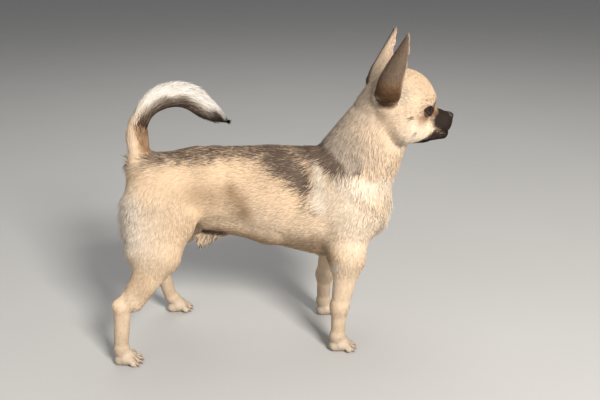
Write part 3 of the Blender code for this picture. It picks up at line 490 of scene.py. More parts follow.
        def near(masses: list[Mass]) -> list[Mass]:
            """The masses that reach the box round the points."""
            return [m for m in masses if (m.reach()[1] > low).all() and (m.reach()[0] < high).all()]

        for mass in near(self.masses):
            own = mass.distance(points)
            share = np.clip(0.5 + 0.5 * (total - own) / mass.blend, 0, 1)
            total = total * (1 - share) + own * share - mass.blend * share * (1 - share)
        if high[2] > 262 and high[0] > 74 and low[0] < 108:
            own, _ = self.ears.nearest(points)
            share = np.clip(0.5 + 0.5 * (total - own) / 3.0, 0, 1)
            total = total * (1 - share) + own * share - 3.0 * share * (1 - share)
        if fine and high[0] > 104:
            for mass in near(self.grooves):
                own = -mass.distance(points)
                share = np.clip(0.5 - 0.5 * (total - own) / mass.blend, 0, 1)
                total = total * (1 - share) + own * share + mass.blend * share * (1 - share)
            for eye in self.eyes:
                centre = eye.axes()[0]
                total = np.maximum(total, eye.radius + 0.1 - np.linalg.norm(points - centre, axis=1))
        return total

    def probe(self, points: np.ndarray, fine: bool, step: float = 0.25) -> tuple[np.ndarray, np.ndarray]:
        """Distance and outward direction at each point, in one go."""
        nudges = np.vstack([np.zeros(3), np.eye(3) * step, np.eye(3) * -step])
        stacked = (points[None] + nudges[:, None]).reshape(-1, 3)
        found = self.distance(stacked, fine).reshape(7, -1)
        return found[0], unit((found[1:4] - found[4:7]).T)

    def settle(self, points: np.ndarray, depth: np.ndarray, rounds: int, fine: bool) -> np.ndarray:
        """Points moved onto the surface that lies depth inside the body's.

        Args:
            points: Starting places.
            depth: How far inside each one ends.
            rounds: How many steps each one takes.
            fine: Whether the face's small forms count.

        Returns:
            The new places.
        """
        points = points.copy()
        for group in cells(points, 22.0):
            own = points[group]
            for _ in range(rounds):
                far, way = self.probe(own, fine)
                own = own - way * np.clip(far + depth[group], -3, 3)[:, None] * 0.9
            points[group] = own
        return points

    def shares(self, points: np.ndarray) -> np.ndarray:
        """How much each mass gives its coat to each point, one row per point."""
        far = np.stack([mass.distance(points) for mass in self.masses], axis=1)
        weight = np.exp(-(far - far.min(axis=1, keepdims=True)) / 4.0)
        return weight / weight.sum(axis=1, keepdims=True)


def cells(points: np.ndarray, size: float) -> list[np.ndarray]:
    """Index groups of points that share a cube of this size."""
    keys = np.floor(points / size).astype(int)
    _, owner = np.unique(keys, axis=0, return_inverse=True)
    owner = owner.reshape(-1)
    order = np.argsort(owner, kind="stable")
    return np.split(order, np.flatnonzero(np.diff(owner[order])) + 1)


# Markings, painted shade and painted highlights

@dataclass(frozen=True)
class Tint:
    """A hair colour, in linear red, green and blue."""

    red: float
    green: float
    blue: float

    def array(self) -> np.ndarray:
        """The colour as an array."""
        return np.array((self.red, self.green, self.blue))


class Pelt(Enum):
    """The coat's colours."""

    CREAM = Tint(0.655, 0.50, 0.355)
    FAWN = Tint(0.53, 0.365, 0.22)
    WHITE = Tint(0.73, 0.63, 0.515)
    SNOW = Tint(0.74, 0.69, 0.63)
    GREY = Tint(0.33, 0.27, 0.215)
    SABLE = Tint(0.088, 0.062, 0.047)
    # brown for real smudges, also laid as painted shade on the belly, flank, elbow, hock, cheek fold and between the
    # toes
    SMUDGE = Tint(0.30, 0.20, 0.12)
    RUFOUS = Tint(0.30, 0.155, 0.075)
    MASK = Tint(0.020, 0.012, 0.009)
    EAR = Tint(0.165, 0.112, 0.075)
    PINK = Tint(0.62, 0.43, 0.35)
    LID = Tint(0.34, 0.21, 0.13)


@dataclass(frozen=True)
class Mark:
    """A band of colour along a line seen from the side, for markings, painted shade and painted highlights: x, z and
    half width at each point.
    """

    line: tuple[tuple[float, float, float], ...]
    tint: Pelt
    strength: float
    soft: float = 0.5  # share of the half width over which it fades
    dark: bool = True  # mixed in tuft by tuft, or else painted evenly
    inner: float = 0.0  # least distance from the middle plane
    outer: float = 200.0

    def weight(self, points: np.ndarray, jitter: np.ndarray) -> np.ndarray:
        """How much of the marking each point takes, from 0 to strength."""
        line = np.array(self.line, float)
        flat = points[:, [0, 2]]
        best = np.full(len(points), 1e3)
        for a, b in zip(line, line[1:] if len(line) > 1 else line):
            axis = b[:2] - a[:2]
            along = np.clip((flat - a[:2]) @ axis / max(axis @ axis, 1e-9), 0, 1)
            radius = a[2] + along * (b[2] - a[2])
            away = np.linalg.norm(flat - a[:2] - along[:, None] * axis, axis=1)
            best = np.minimum(best, away / radius)
        edge = 1 - ease(1 - self.soft, 1 + self.soft, best + jitter)
        beside = np.abs(points[:, 1])
        if self.inner:
            edge = edge * ease(self.inner - 2, self.inner + 1, beside)
        return edge * (1 - ease(self.outer - 2, self.outer + 2, beside)) * self.strength


MARKS = (
    Mark(((-160, 150, 60), (-60, 205, 22), (0, 190, 30)), Pelt.FAWN, 0.55, 0.8, False),
    Mark(((-149, 212.5, 7), (-120, 217, 10), (-60, 218, 10), (-30, 217, 13), (0, 220, 16), (25, 225, 13)),
         Pelt.SABLE, 0.69, 0.55),
    Mark(((-25, 210, 14), (-6, 199, 13), (4, 184, 10)), Pelt.SABLE, 0.9, 0.8),
    Mark(((4, 184, 10), (11, 162, 6)), Pelt.SABLE, 0.6, 1.0),
    Mark(((10, 220, 14), (33, 217, 16), (49, 206, 12)), Pelt.SABLE, 1.0, 0.5),
    Mark(((45, 228, 14), (52, 212, 8)), Pelt.GREY, 0.7, 0.8),
    Mark(((30, 238, 14), (50, 262, 13), (66, 284, 10)), Pelt.GREY, 0.6, 0.7, False),
    # brown smudges on the flank, partly painted shade where the flank curves under in front of the thigh
    Mark(((-106, 182, 9), (-84, 176, 11)), Pelt.SMUDGE, 0.6, 1.0, False),
    Mark(((-67, 184, 6), (-61, 171, 9), (-54, 159, 8.5)), Pelt.SMUDGE, 0.95, 1.0, False),
    # painted shade along the underside of the chest and belly
    Mark(((24, 111, 10), (-30, 118, 9), (-82, 134, 8)), Pelt.SMUDGE, 0.78, 1.0, False),
    # grey hair on the side of the neck, partly painted shade from the head
    Mark(((44, 226, 16), (68, 264, 15)), Pelt.GREY, 0.40, 0.9, False),
    Mark(((60, 228, 6), (70, 212, 8)), Pelt.GREY, 0.35, 1.0, False),
    # painted shade above the elbow, where the trunk shades the top of the foreleg
    Mark(((18, 130, 5), (26, 108, 6)), Pelt.SMUDGE, 0.55, 0.9, False),
    # a brownish smear on the hock, partly painted shade low on the hind leg
    Mark(((-162, 98, 7), (-152, 78, 8)), Pelt.SMUDGE, 0.35, 0.9, False),
    # painted shadow in the fold behind the cheek, from the ear's root towards the throat
    Mark(((76, 256, 3), (90, 240, 3.5), (101, 224, 4)), Pelt.SMUDGE, 0.35, 0.9, False, inner=18.0),
    Mark(((20, 204, 4), (18, 190, 7), (18, 168, 8)), Pelt.WHITE, 0.85, 0.9, False),
    Mark(((40, 194, 8), (66, 185, 9), (88, 186, 9)), Pelt.WHITE, 0.7, 0.7, False),
    # painted highlight on the shoulder
    Mark(((42, 172, 18), (56, 142, 17)), Pelt.WHITE, 0.5, 0.9, False),
    # painted highlight on the thigh
    Mark(((-150, 160, 22), (-152, 132, 18)), Pelt.WHITE, 0.35, 1.0, False),
    Mark(((118, 288, 12), (127, 274, 12)), Pelt.FAWN, 0.45, 1.0, False),
    Mark(((92, 165, 12), (86, 135, 14)), Pelt.WHITE, 0.5, 0.8, False),
    Mark(((-172, 172, 14), (-177, 146, 20)), Pelt.SNOW, 0.55, 1.0, False),
    Mark(((-78, 128, 4.5), (-99, 128, 4.5)), Pelt.SABLE, 0.85, 0.6),
    Mark(((-86, 110, 8), (-104, 109, 8)), Pelt.SNOW, 0.95, 0.5, False),
    Mark(((126, 251, 5), (141, 251, 6.5)), Pelt.RUFOUS, 0.6, 0.9, False),
    Mark(((142, 242, 10), (151, 240, 11)), Pelt.MASK, 1.2, 0.7),
    Mark(((141, 251, 3.2), (151, 248, 5)), Pelt.MASK, 1.0, 0.9),
    Mark(((117, 219, 3.2), (123, 220.5, 6.0), (134, 223, 8.2), (147, 226, 9.5)), Pelt.MASK, 1.2, 0.6),
    Mark(((130, 228, 4.5), (138, 231, 5.5)), Pelt.MASK, 0.9, 0.8),
    Mark(((140, 230, 4.0), (144, 229, 3.4)), Pelt.WHITE, 0.36, 1.0, False),
    Mark(((32, 104, 5), (29, 99, 4)), Pelt.WHITE, 0.6, 0.6, False, inner=30.0),
)


def wander(points: np.ndarray, size: Triple, seed: int) -> np.ndarray:
    """Smooth random values about zero that vary over these lengths."""
    rng = np.random.default_rng(seed)
    out = np.zeros(len(points))
    for octave in range(4):
        waves = rng.normal(size=(5, 3)) / np.array(size) * 1.9 ** octave
        phase = rng.uniform(0, 2 * math.pi, 5)
        out += np.sin(points @ waves.T + phase).sum(axis=1) * 0.16 / 1.5 ** octave
    return out


@dataclass
class Skin:
    """The one skin, with the lie, length and colour of the coat at every point of it."""

    body: Body
    name: str = "skin"
    uv: str = "OFBake"
    rump: tuple = ((-175.0, 158.0), 26.0, 42.0)  # x and z of the tuft's middle, its size, half width
    chest: tuple = ((90.0, 152.0), 26.0, 30.0)
    sheath: tuple = ((-94.0, 116.0), 16.0, 12.0)
    ear_front: tuple = ((99.0, 272.0), 11.0, 36.0)
    ruff: tuple = ((36.0, 206.0), (88.0, 162.0))  # the line of its edge on the shoulder
    thigh_edge: tuple = ((-176.0, 130.0), (-172.0, 95.0))

    def rough(self) -> bpy.types.Object:
        """The hulls of all masses and the ears, remeshed into one even skin."""
        bm = bmesh.new()
        for mass in self.body.masses:
            mass.hull_into(bm)
        self.body.ears.shell_into(bm)
        bmesh.ops.recalc_face_normals(bm, faces=bm.faces[:])
        mesh = bpy.data.meshes.new(self.name)
        bm.to_mesh(mesh)
        bm.free()
        obj = bpy.data.objects.new(self.name, mesh)
        bpy.context.scene.collection.objects.link(obj)
        return remeshed(obj, self.body.voxel)

    def coat_at(self, points: np.ndarray) -> dict[str, np.ndarray]:
        """The coat's measures at each point: lie, length, depth, width and tufts per area."""
        weight = np.empty((len(points), len(self.body.masses)))
        for group in cells(points, 40.0):
            weight[group] = self.body.shares(points[group])
        hair = np.array([mass.hair.value for mass in self.body.masses])
        measures = weight @ hair
        flow = weight @ np.array([mass.flow() for mass in self.body.masses])
        far, hollow = np.full(len(points), 99.0), np.zeros(len(points))
        near = np.flatnonzero((points[:, 2] > 258) & (points[:, 0] > 68) & (points[:, 0] < 112))
        far[near], hollow[near] = self.body.ears.nearest(points[near])
        # the root of each ear fades into the head over its lowest part
        ear = (1 - ease(0.6, 2.6, far)) * ease(264, 276, points[:, 2])
        ear[near] *= np.where(self.body_gap(points[near]) > -0.5, 1, 0)
        outside = ease(-1, 4, np.abs(points[:, 1]) - np.interp(points[:, 2], (262, 330), (22, 28)))
        base = (1 - ease(1.5, 5.0, far)) * (1 - ease(272, 290, points[:, 2])) * outside
        ragged = wander(points, (5, 4, 3), 31) * 7
        base *= ease(0, 7, points[:, 2] - 260 - ((points[:, 0] - 86) / 8) ** 2 * 2.5 + ragged)
        hollow *= ease(266, 273, points[:, 2])
        own = np.array(Hair.EAR.value)
        measures = measures * (1 - ear[:, None]) + own * ear[:, None]
        flow = flow * (1 - ear[:, None]) + np.array((0.05, 0, 1.0)) * ear[:, None]
        return {
            "flow": unit(flow), "length": measures[:, 0], "depth": measures[:, 1],
            "wide": measures[:, 2], "dense": measures[:, 3], "ear": ear, "hollow": hollow * ear,
            "base": base * (1 - hollow * ear),
        }

    def body_gap(self, points: np.ndarray) -> np.ndarray:
        """Distance from each point to the head without its ears."""
        far = np.stack([mass.distance(points) for mass in self.body.masses[19:22]], axis=1)
        return far.min(axis=1)

    def zone(self, points: np.ndarray, spot: tuple, size: float, wide: float) -> np.ndarray:
        """How far each point is within a named tuft of longer hair, from 0 to 1."""
        away = np.hypot(points[:, 0] - spot[0], points[:, 2] - spot[1]) / size
        return (1 - ease(0.3, 1.15, away)) * (1 - ease(0.7, 1.2, np.abs(points[:, 1]) / wide))

    def along_line(self, points: np.ndarray, line: tuple, size: float) -> np.ndarray:
        """How close each point is to a line seen from the side, from 0 to 1."""
        a, b = np.array(line[0]), np.array(line[1])
        flat, axis = points[:, [0, 2]], b - a
        along = np.clip((flat - a) @ axis / (axis @ axis), 0, 1)
        away = np.linalg.norm(flat - a - along[:, None] * axis, axis=1)
        return 1 - ease(0.2 * size, size, away)

    def tail_reach(self, points: np.ndarray) -> tuple[np.ndarray, ...]:
        """Along the tail: each point's place from 0 to 1, how outward it faces, its hair's reach, lie and bend."""
        rows = smooth_rows(self.body.tail, 6)
        line = np.stack([rows[:, 0], np.zeros(len(rows)), rows[:, 1]], axis=1)
        nearest = np.linalg.norm(points[:, None] - line[None], axis=2).argmin(axis=1)
        along = unit(np.gradient(line, axis=0))
        step = np.linalg.norm(np.gradient(line, axis=0), axis=1)
        curved = np.linalg.norm(np.gradient(along, axis=0), axis=1) / step
        curved = np.convolve(np.pad(curved, 7, mode="edge"), np.full(15, 1 / 15), mode="valid")[nearest]
        ahead = along[nearest]
        outward = np.stack([-ahead[:, 2], np.zeros(len(points)), ahead[:, 0]], axis=1)
        facing = (unit(points - line[nearest]) * outward).sum(axis=1)
        outer, inner = rows[nearest, 3], rows[nearest, 4]
        reach = outer * np.clip(facing, 0, 1) + inner * np.clip(-facing, 0, 1)
        reach += (outer + inner) * 0.27 * (1 - facing ** 2)
        bend = curved * facing / (1 + curved * rows[nearest, 2] * facing)
        return nearest / (len(rows) - 1), facing, reach - rows[nearest, 2], ahead, bend

    def tints(self, points: np.ndarray, coat: dict[str, np.ndarray], tail: np.ndarray) -> dict[str, np.ndarray]:
        """The pale and the dark hair's colour at each point, and how much of it is dark."""
        count = len(points)
        pale = np.tile(Pelt.CREAM.value.array(), (count, 1))
        dark = np.tile(Pelt.SABLE.value.array(), (count, 1))
        mix = np.zeros(count)
        jitter = wander(points, (9, 5, 4), 3) * 0.20 + wander(points, (2.4, 1.2, 1.0), 5) * 0.12
        trunk = 1 - coat["ear"]
        for mark in MARKS:
            share = mark.weight(points, jitter) * trunk
            colour = mark.tint.value.array()
            if mark.dark:
                dark += (colour - dark) * ease(0, 0.4, share)[:, None]
                mix = np.maximum(mix, share)
            else:
                pale += (colour - pale) * share[:, None]
                if mark.tint is Pelt.WHITE:
                    mix *= 1 - share
        self.face_tints(points, pale, dark, mix, jitter, trunk)
        self.ear_tints(points, coat, pale, dark, mix)
        self.tail_tints(points, tail, pale, dark, mix, jitter)
        # painted shade in the gaps between the toes, near the ground
        for name, *_ in self.body.paws:
            ways = [(root + way * reach * 0.35, root + way * (reach + 1.5)) for root, way, reach in self.body.toes(name)]
            for (a, b), (c, d) in zip(ways, ways[1:]):
                start, end = (a + c) / 2, (b + d) / 2
                axis = end - start
                along = np.clip((points - start)[:, :2] @ axis[:2] / (axis @ axis), 0, 1)
                away = np.linalg.norm((points - start - along[:, None] * axis)[:, :2], axis=1)
                gap = (1 - ease(0.3, 1.4, away)) * (1 - ease(10, 13, points[:, 2]))
                dark += (Pelt.SMUDGE.value.array() * 0.6 - dark) * gap[:, None]
                np.maximum(mix, gap * 0.75, out=mix)
        low = 1 - ease(8, 26, points[:, 2])
        pale += (Pelt.WHITE.value.array() - pale) * (low * 0.4)[:, None]
        # painted shade: pale hair up to 22 % darker towards the ground, fading out by 90 mm up
        pale *= (1 - 0.22 * (1 - ease(12, 90, points[:, 2])))[:, None]
        pads = 1 - ease(0.6, 2.2, points[:, 2])
        pale += (Pelt.MASK.value.array() * 1.6 - pale) * pads[:, None]
        pale *= 1 + wander(points, (16, 9, 7), 9)[:, None] * 0.07
        return {"pale": np.clip(pale, 0, 1), "dark": np.clip(dark, 0, 1), "mix": np.clip(mix, 0, 1.4)}

    def face_tints(self, points: np.ndarray, pale: np.ndarray, dark: np.ndarray, mix: np.ndarray,
                   jitter: np.ndarray, trunk: np.ndarray) -> None:
        """The dark muzzle, the rims of the eyes and the small spots of the face."""
        beside = np.abs(points[:, 1])
        mirror = np.stack([points[:, 0], beside, points[:, 2]], axis=1)

        def spot(centre: Triple, size: float, soft: float = 0.4) -> np.ndarray:
            """Weight of a round spot, alike on both sides."""
            away = np.linalg.norm(mirror - np.array(centre), axis=1) / size
            return (1 - ease(1 - soft, 1 + soft, away + jitter * 0.8)) * trunk

        def band(start: Triple, end: Triple, size: float, soft: float = 0.4) -> np.ndarray:
            """Weight of a band between two points, alike on both sides."""
            a, axis = np.array(start), np.array(end) - np.array(start)
            along = np.clip((mirror - a) @ axis / (axis @ axis), 0, 1)
            away = np.linalg.norm(mirror - a - along[:, None] * axis, axis=1) / size
            return (1 - ease(1 - soft, 1 + soft, away + jitter * 0.8)) * trunk

        line = np.abs(smooth_rows(self.body.mouth, 3))
        mouth = np.maximum.reduce([band(tuple(a), tuple(b), 1.3, 0.5) for a, b in zip(line, line[1:])])
        rim = np.maximum(band((129, 18, 257.5), (133, 11, 259.5), 1.8, 0.8) * 0.6, spot((131, 15, 253.5), 3.6, 0.6) * 0.9)
        warm = np.maximum(spot((121, 25, 249.5), 7.5, 0.9), band((126, 19, 252), (136, 10, 253), 5, 0.8) * 0.9)
        warm = np.maximum(warm, band((133, 0, 258), (131, 10, 259), 5.5, 0.9) * 0.7)
        face = np.maximum(mouth, rim)
        for centre, size in (((106.5, 29, 250), 2.4), ((110.5, 27, 235), 2.6)):
            face = np.maximum(face, spot(centre, size, 0.5) * 0.9)
        dark += (Pelt.MASK.value.array() - dark) * ease(0, 0.3, face)[:, None]
        np.maximum(mix, face, out=mix)
        cheek = spot((112, 24, 230), 17, 0.6)
        pale += (Pelt.WHITE.value.array() * 0.97 - pale) * (cheek * 0.55)[:, None]
        before_ear = spot((96, 33, 274), 9, 0.6)
        pale += (Pelt.WHITE.value.array() * 0.94 - pale) * (before_ear * 0.7)[:, None]
        pale += (Pelt.RUFOUS.value.array() * 0.8 - pale) * (warm * 0.85)[:, None]

    def ear_tints(self, points: np.ndarray, coat: dict[str, np.ndarray], pale: np.ndarray,
                  dark: np.ndarray, mix: np.ndarray) -> None:
        """Dark velvet behind, pink within and a pale rim in front."""
        ear, hollow = coat["ear"], coat["hollow"]
        turned = ease(0.0, 6.0, np.abs(np.interp(points[:, 2], (262, 330), (22, 28))) - np.abs(points[:, 1]))
        back = Pelt.EAR.value.array() + (Pelt.CREAM.value.array() * 0.8 - Pelt.EAR.value.array()) * turned[:, None]
        pale += (back - pale) * ease(0.1, 0.7, ear)[:, None]
        dark += (Pelt.SABLE.value.array() * 0.8 - dark) * ear[:, None]
        patchy = wander(points, (7, 5, 9), 21) * 0.22
        mix += ((0.5 + patchy) * (1 - turned * 0.8) - mix) * ear
        base = coat["base"]
        pale += (Pelt.RUFOUS.value.array() * 0.6 - pale) * (base * 0.8)[:, None]
        dark += (Pelt.RUFOUS.value.array() * 0.30 - dark) * ease(0, 0.4, base)[:, None]
        np.maximum(mix, base * 0.85, out=mix)
        pale += (Pelt.PINK.value.array() - pale) * (hollow * 0.9)[:, None]
        mix *= 1 - hollow
        line = smooth_rows(self.body.ears.stations, 4)
        front = np.interp(points[:, 2], line[:, 2], line[:, 0] + line[:, 3] * 0.50)
        rim = ear * ease(-2.8, -0.2, points[:, 0] - front)
        pale += (Pelt.CREAM.value.array() * 0.85 - pale) * (rim * 0.85)[:, None]
        mix *= 1 - rim

    def tail_tints(self, points: np.ndarray, tail: np.ndarray, pale: np.ndarray, dark: np.ndarray,
                   mix: np.ndarray, jitter: np.ndarray) -> None:
        """White outer hair, a dark inner side and end, and rufous at the root."""
        share, facing, *_ = self.tail_reach(points)
        facing = facing + jitter * 1.2 - 0.35 * ease(0.55, 0.9, share)
        outer = ease(-0.3, 0.7, facing)[:, None]
        later = ease(0.12, 0.4, share)[:, None]
        grey, cream = Pelt.GREY.value.array(), Pelt.CREAM.value.array()
        fawn = Pelt.FAWN.value.array() * 0.9 * (1 - later) + grey * 0.8 * later
        white = fawn + (cream + (Pelt.SNOW.value.array() * 0.93 - cream) * later - fawn) * outer
        pale += (white - pale) * (tail * ease(-0.1, 0.12, share))[:, None]
        root = (1 - ease(0.16, 0.30, share))[:, None]
        patch = np.exp(-((share - 0.22) / 0.055) ** 2) * (1 - ease(-0.1, 0.8, facing)) * 1.3
        colour = Pelt.RUFOUS.value.array() * 0.5 * root + Pelt.SABLE.value.array() * 0.7
        colour *= 1 - np.clip(0.75 * np.maximum(patch, ease(0.7, 0.9, share)), 0, 0.7)[:, None]
        dark += (colour - dark) * tail[:, None]
        low = (1 - ease(-1.0, 0.5, facing)) * 0.85
        high = 1 - ease(-1.15, 0.35, facing)
        inner = low * root[:, 0] + high * (1 - root[:, 0])
        end = ease(0.66, 0.84, share) * (1 - ease(-0.2, 0.9, facing) * (1 - ease(0.86, 0.95, share))) * 1.1
        mix += (np.maximum.reduce([inner * 0.95, patch, end]) - mix) * tail

    def build(self) -> bpy.types.Object:
        """Makes the skin, sinks it by the coat's depth and stores the coat on it.

        Returns:
            The skin's object, at the origin.
        """
        obj = self.rough()
        for voxel, rounds in ((self.body.voxel, 5), (None, 5)):
            self.body.ears.rough = voxel is not None
            points = coordinates(obj)
            depth = self.coat_at(points)["depth"]
            points = self.body.settle(points, depth, rounds, False)
            write_coordinates(obj, points)
            if voxel:
                remeshed(obj, voxel)
        refine(obj, lambda p: p[0] > 106 and 217 < p[2] < 272)
        points = coordinates(obj)
        head = np.flatnonzero((points[:, 0] > 100) & (points[:, 2] > 214) & (points[:, 2] < 276))
        depth = self.coat_at(points[head])["depth"]
        points[head] = self.body.settle(points[head], depth * 0.8, 4, True)
        points[:, 2] = np.maximum(points[:, 2], 0.25)
        write_coordinates(obj, points)
        self.unwrap(obj)
        self.store(obj, points)
        obj.data.shade_smooth()
        return obj

    def unwrap(self, obj: bpy.types.Object) -> None:
        """Unwraps the skin's own shape into the map that the baking uses."""
        obj.data.uv_layers.new(name=self.uv)
        bpy.ops.object.select_all(action="DESELECT")
        obj.select_set(True)
        bpy.context.view_layer.objects.active = obj
        bpy.ops.object.mode_set(mode="EDIT")
        bpy.ops.mesh.select_all(action="SELECT")
        bpy.ops.uv.smart_project(angle_limit=math.radians(66), island_margin=0.004)
        bpy.ops.object.mode_set(mode="OBJECT")

    def store(self, obj: bpy.types.Object, points: np.ndarray) -> None:
        """Writes the coat's measures and colours on the skin's points, and moves it into place."""
        mesh = obj.data
        count = len(mesh.vertices)
        normals = np.empty(count * 3)
        mesh.vertices.foreach_get("normal", normals)
        normals = normals.reshape(-1, 3)
        coat = self.coat_at(points)
        share, facing, lift, ahead, bend = self.tail_reach(points)
        tail = (1 - ease(11, 16, self.tail_gap(points))) * ease(198, 212, points[:, 2])
        tail *= 1 - ease(-70, -60, points[:, 0])
        length = coat["length"]
        flow = coat["flow"] * (1 - tail[:, None]) + ahead * tail[:, None]
        steep = ease(0.35, 0.9, np.abs(normals[:, 0])) * (1 - coat["ear"]) * (1 - tail)
        steep *= np.where(points[:, 2] > 214, 0, 1)
        flow = unit(flow + np.array((0, 0, -1.3)) * steep[:, None])
        front = ease(0.1, 0.7, normals[:, 0]) * ease(112, 118, points[:, 0]) * ease(252, 258, points[:, 2])
        flow = unit(flow + np.array((0, 0, 2.2)) * front[:, None])
        flow = unit(flow - normals * (flow * normals).sum(axis=1, keepdims=True))
        rise = np.clip(coat["depth"] * 1.15, 0.7, 4.5)
        tufts = ((self.rump, 8.5, 9.5, -1), (self.chest, 7.0, 5.5, 1), (self.sheath, 4.0, 1.6, 0),
                 (self.ear_front, 3.0, 1.5, 0))
        for spot, add, grow, way in tufts:
            zone = self.zone(points, *spot) * np.where(way, ease(0.1, 0.7, normals[:, 0] * way), 1)
            zone *= 1 - coat["ear"]
            length, rise = length + add * zone, rise + grow * zone
        ruff = self.along_line(points, self.ruff, 15) * ease(18, 26, np.abs(points[:, 1]))
        edge = self.along_line(points, self.thigh_edge, 12) * ease(0.2, 0.7, -normals[:, 0])
        length = length + 5 * ruff + 2.5 * edge
        rise = rise + 1.0 * ruff + 0.8 * edge
        length = length + 2.5 * coat["base"]
        rise = rise + 0.5 * coat["base"]
        length = length * (1 - tail) + (16 + lift * 0.6) * (1 - 0.4 * ease(0.75, 1.0, share)) * tail
        over = np.clip(lift * 0.95, 0.9, 5) * (1 - 0.4 * ease(0.8, 0.95, share))
        rise = rise * (1 - 0.6 * self.zone(points, (-167.0, 202.0), 17.0, 40.0)) * (1 - tail) + over * tail
        coat["dense"] = coat["dense"] * (1 - 0.85 * coat["hollow"])
        bare = np.maximum(1 - ease(0.5, 1.5, self.eye_gap(points)), 1 - ease(0.5, 2.0, self.nose_gap(points)))
        coat["dense"] *= (1 - bare) * ease(1.5, 4.0, points[:, 2])
        coat["dense"] *= 1 - ease(0.4, 0.75, (normals * ahead).sum(axis=1)) * tail
        tints = self.tints(points, coat, tail)
        region = self.regions(points, coat["ear"], tail)
        put(mesh, "flow", "FLOAT_VECTOR", flow)
        put(mesh, "length", "FLOAT", length * MM)
        put(mesh, "rise", "FLOAT", np.clip(rise / np.maximum(length, 1), 0.06, 0.8))
        put(mesh, "fall", "FLOAT", bend * tail * 0.22 / MM)
        put(mesh, "wide", "FLOAT", coat["wide"] * MM)
        put(mesh, "dense", "FLOAT", coat["dense"] * 1e6)
        put(mesh, "region", "FLOAT", region)
        put(mesh, "bare", "FLOAT", np.maximum(bare, coat["hollow"]))
        put(mesh, "mix", "FLOAT", tints["mix"])
        for name in ("pale", "dark"):
            colour = np.hstack([tints[name], np.ones((count, 1))])
            put(mesh, name, "FLOAT_COLOR", colour)
        write_coordinates(obj, place(points))

    def tail_gap(self, points: np.ndarray) -> np.ndarray:
        """Distance to the tail's bone line."""
        rows = smooth_rows(self.body.tail, 4)
        line = np.stack([rows[:, 0], np.zeros(len(rows)), rows[:, 1]], axis=1)
        return np.linalg.norm(points[:, None] - line[None], axis=2).min(axis=1)

    def eye_gap(self, points: np.ndarray) -> np.ndarray:
        """Distance to the nearer eye's lids."""
        out = np.full(len(points), 99.0)
        for eye in self.body.eyes:
            ring = eye.ring(4, 0.9)
            out = np.minimum(out, np.linalg.norm(points[:, None] - ring[None], axis=2).min(axis=1))
        return out

    def nose_gap(self, points: np.ndarray) -> np.ndarray:
        """Distance to the bare nose."""
        centre, radius = self.body.nose_bed
        return np.linalg.norm(points - np.array(centre), axis=1) - radius - 1.2

    def regions(self, points: np.ndarray, ear: np.ndarray, tail: np.ndarray) -> np.ndarray:
        """Which piece of coat each point belongs to."""
        x, y, z = points.T
        left = y > 0
        out = np.where(x > -62, Region.RIBS_RIGHT.value, Region.HAUNCH_RIGHT.value) + left
        neck = (x - 57.5) * 0.605 + (z - 193.5) * 0.796 > -22
        out = np.where(neck & (x > 0), Region.NECK_RIGHT.value + left, out)
        out = np.where((x - 85) * 0.868 + (z - 247) * 0.5 > -4, Region.HEAD_RIGHT.value + left, out)
        out[(z < 112) & (x > -20)] = Region.FORELEGS.value
        out[(z < 118) & (x < -106)] = Region.HIND_LEGS.value
        out[ear > 0.4] = Region.EARS.value
        out[tail > 0.5] = Region.TAIL.value
        return out


class Region(Enum):
    """The pieces that the coat is made in. A left side follows its right side."""

    RIBS_RIGHT = 0
    RIBS_LEFT = 1
    HAUNCH_RIGHT = 2
    HAUNCH_LEFT = 3
    NECK_RIGHT = 4
    NECK_LEFT = 5
    HEAD_RIGHT = 6
    HEAD_LEFT = 7
    FORELEGS = 8
    HIND_LEGS = 9
    EARS = 10
    TAIL = 11


def remeshed(obj: bpy.types.Object, voxel: float) -> bpy.types.Object:
    """Remeshes an object in place at this voxel size."""
    modifier = obj.modifiers.new("even", "REMESH")
    modifier.mode, modifier.voxel_size = "VOXEL", voxel
    modifier.adaptivity = 0
    return baked(obj)


def baked(obj: bpy.types.Object) -> bpy.types.Object:
    """Turns an object's modifiers into its own mesh."""
    graph = bpy.context.evaluated_depsgraph_get()
    mesh = bpy.data.meshes.new_from_object(obj.evaluated_get(graph))
    obj.modifiers.clear()
    old, obj.data = obj.data, mesh
    bpy.data.meshes.remove(old)
    return obj


def refine(obj: bpy.types.Object, wanted: Callable[[Vector], bool]) -> None:
    """Divides the faces whose corners are all wanted."""
    bm = bmesh.new()
    bm.from_mesh(obj.data)
    edges = [e for e in bm.edges if wanted(e.verts[0].co) and wanted(e.verts[1].co)]
    bmesh.ops.subdivide_edges(bm, edges=edges, cuts=1, use_grid_fill=True)
    bmesh.ops.triangulate(bm, faces=[f for f in bm.faces if len(f.verts) > 4])
    bm.to_mesh(obj.data)
    bm.free()


def coordinates(obj: bpy.types.Object) -> np.ndarray:
    """An object's mesh points."""
    points = np.empty(len(obj.data.vertices) * 3)
    obj.data.vertices.foreach_get("co", points)
    return points.reshape(-1, 3)


def write_coordinates(obj: bpy.types.Object, points: np.ndarray) -> None:
    """Sets an object's mesh points."""
    obj.data.vertices.foreach_set("co", np.ascontiguousarray(points, float).ravel())
    obj.data.update()


def put(mesh: bpy.types.Mesh, name: str, kind: str, values: np.ndarray) -> None:
    """Stores one value per point under a name."""
    attribute = mesh.attributes.get(name) or mesh.attributes.new(name, kind, "POINT")
    slot = {"FLOAT": "value", "FLOAT_VECTOR": "vector", "FLOAT_COLOR": "color"}[kind]
    attribute.data.foreach_set(slot, np.ascontiguousarray(values, np.float32).ravel())


# Finishes

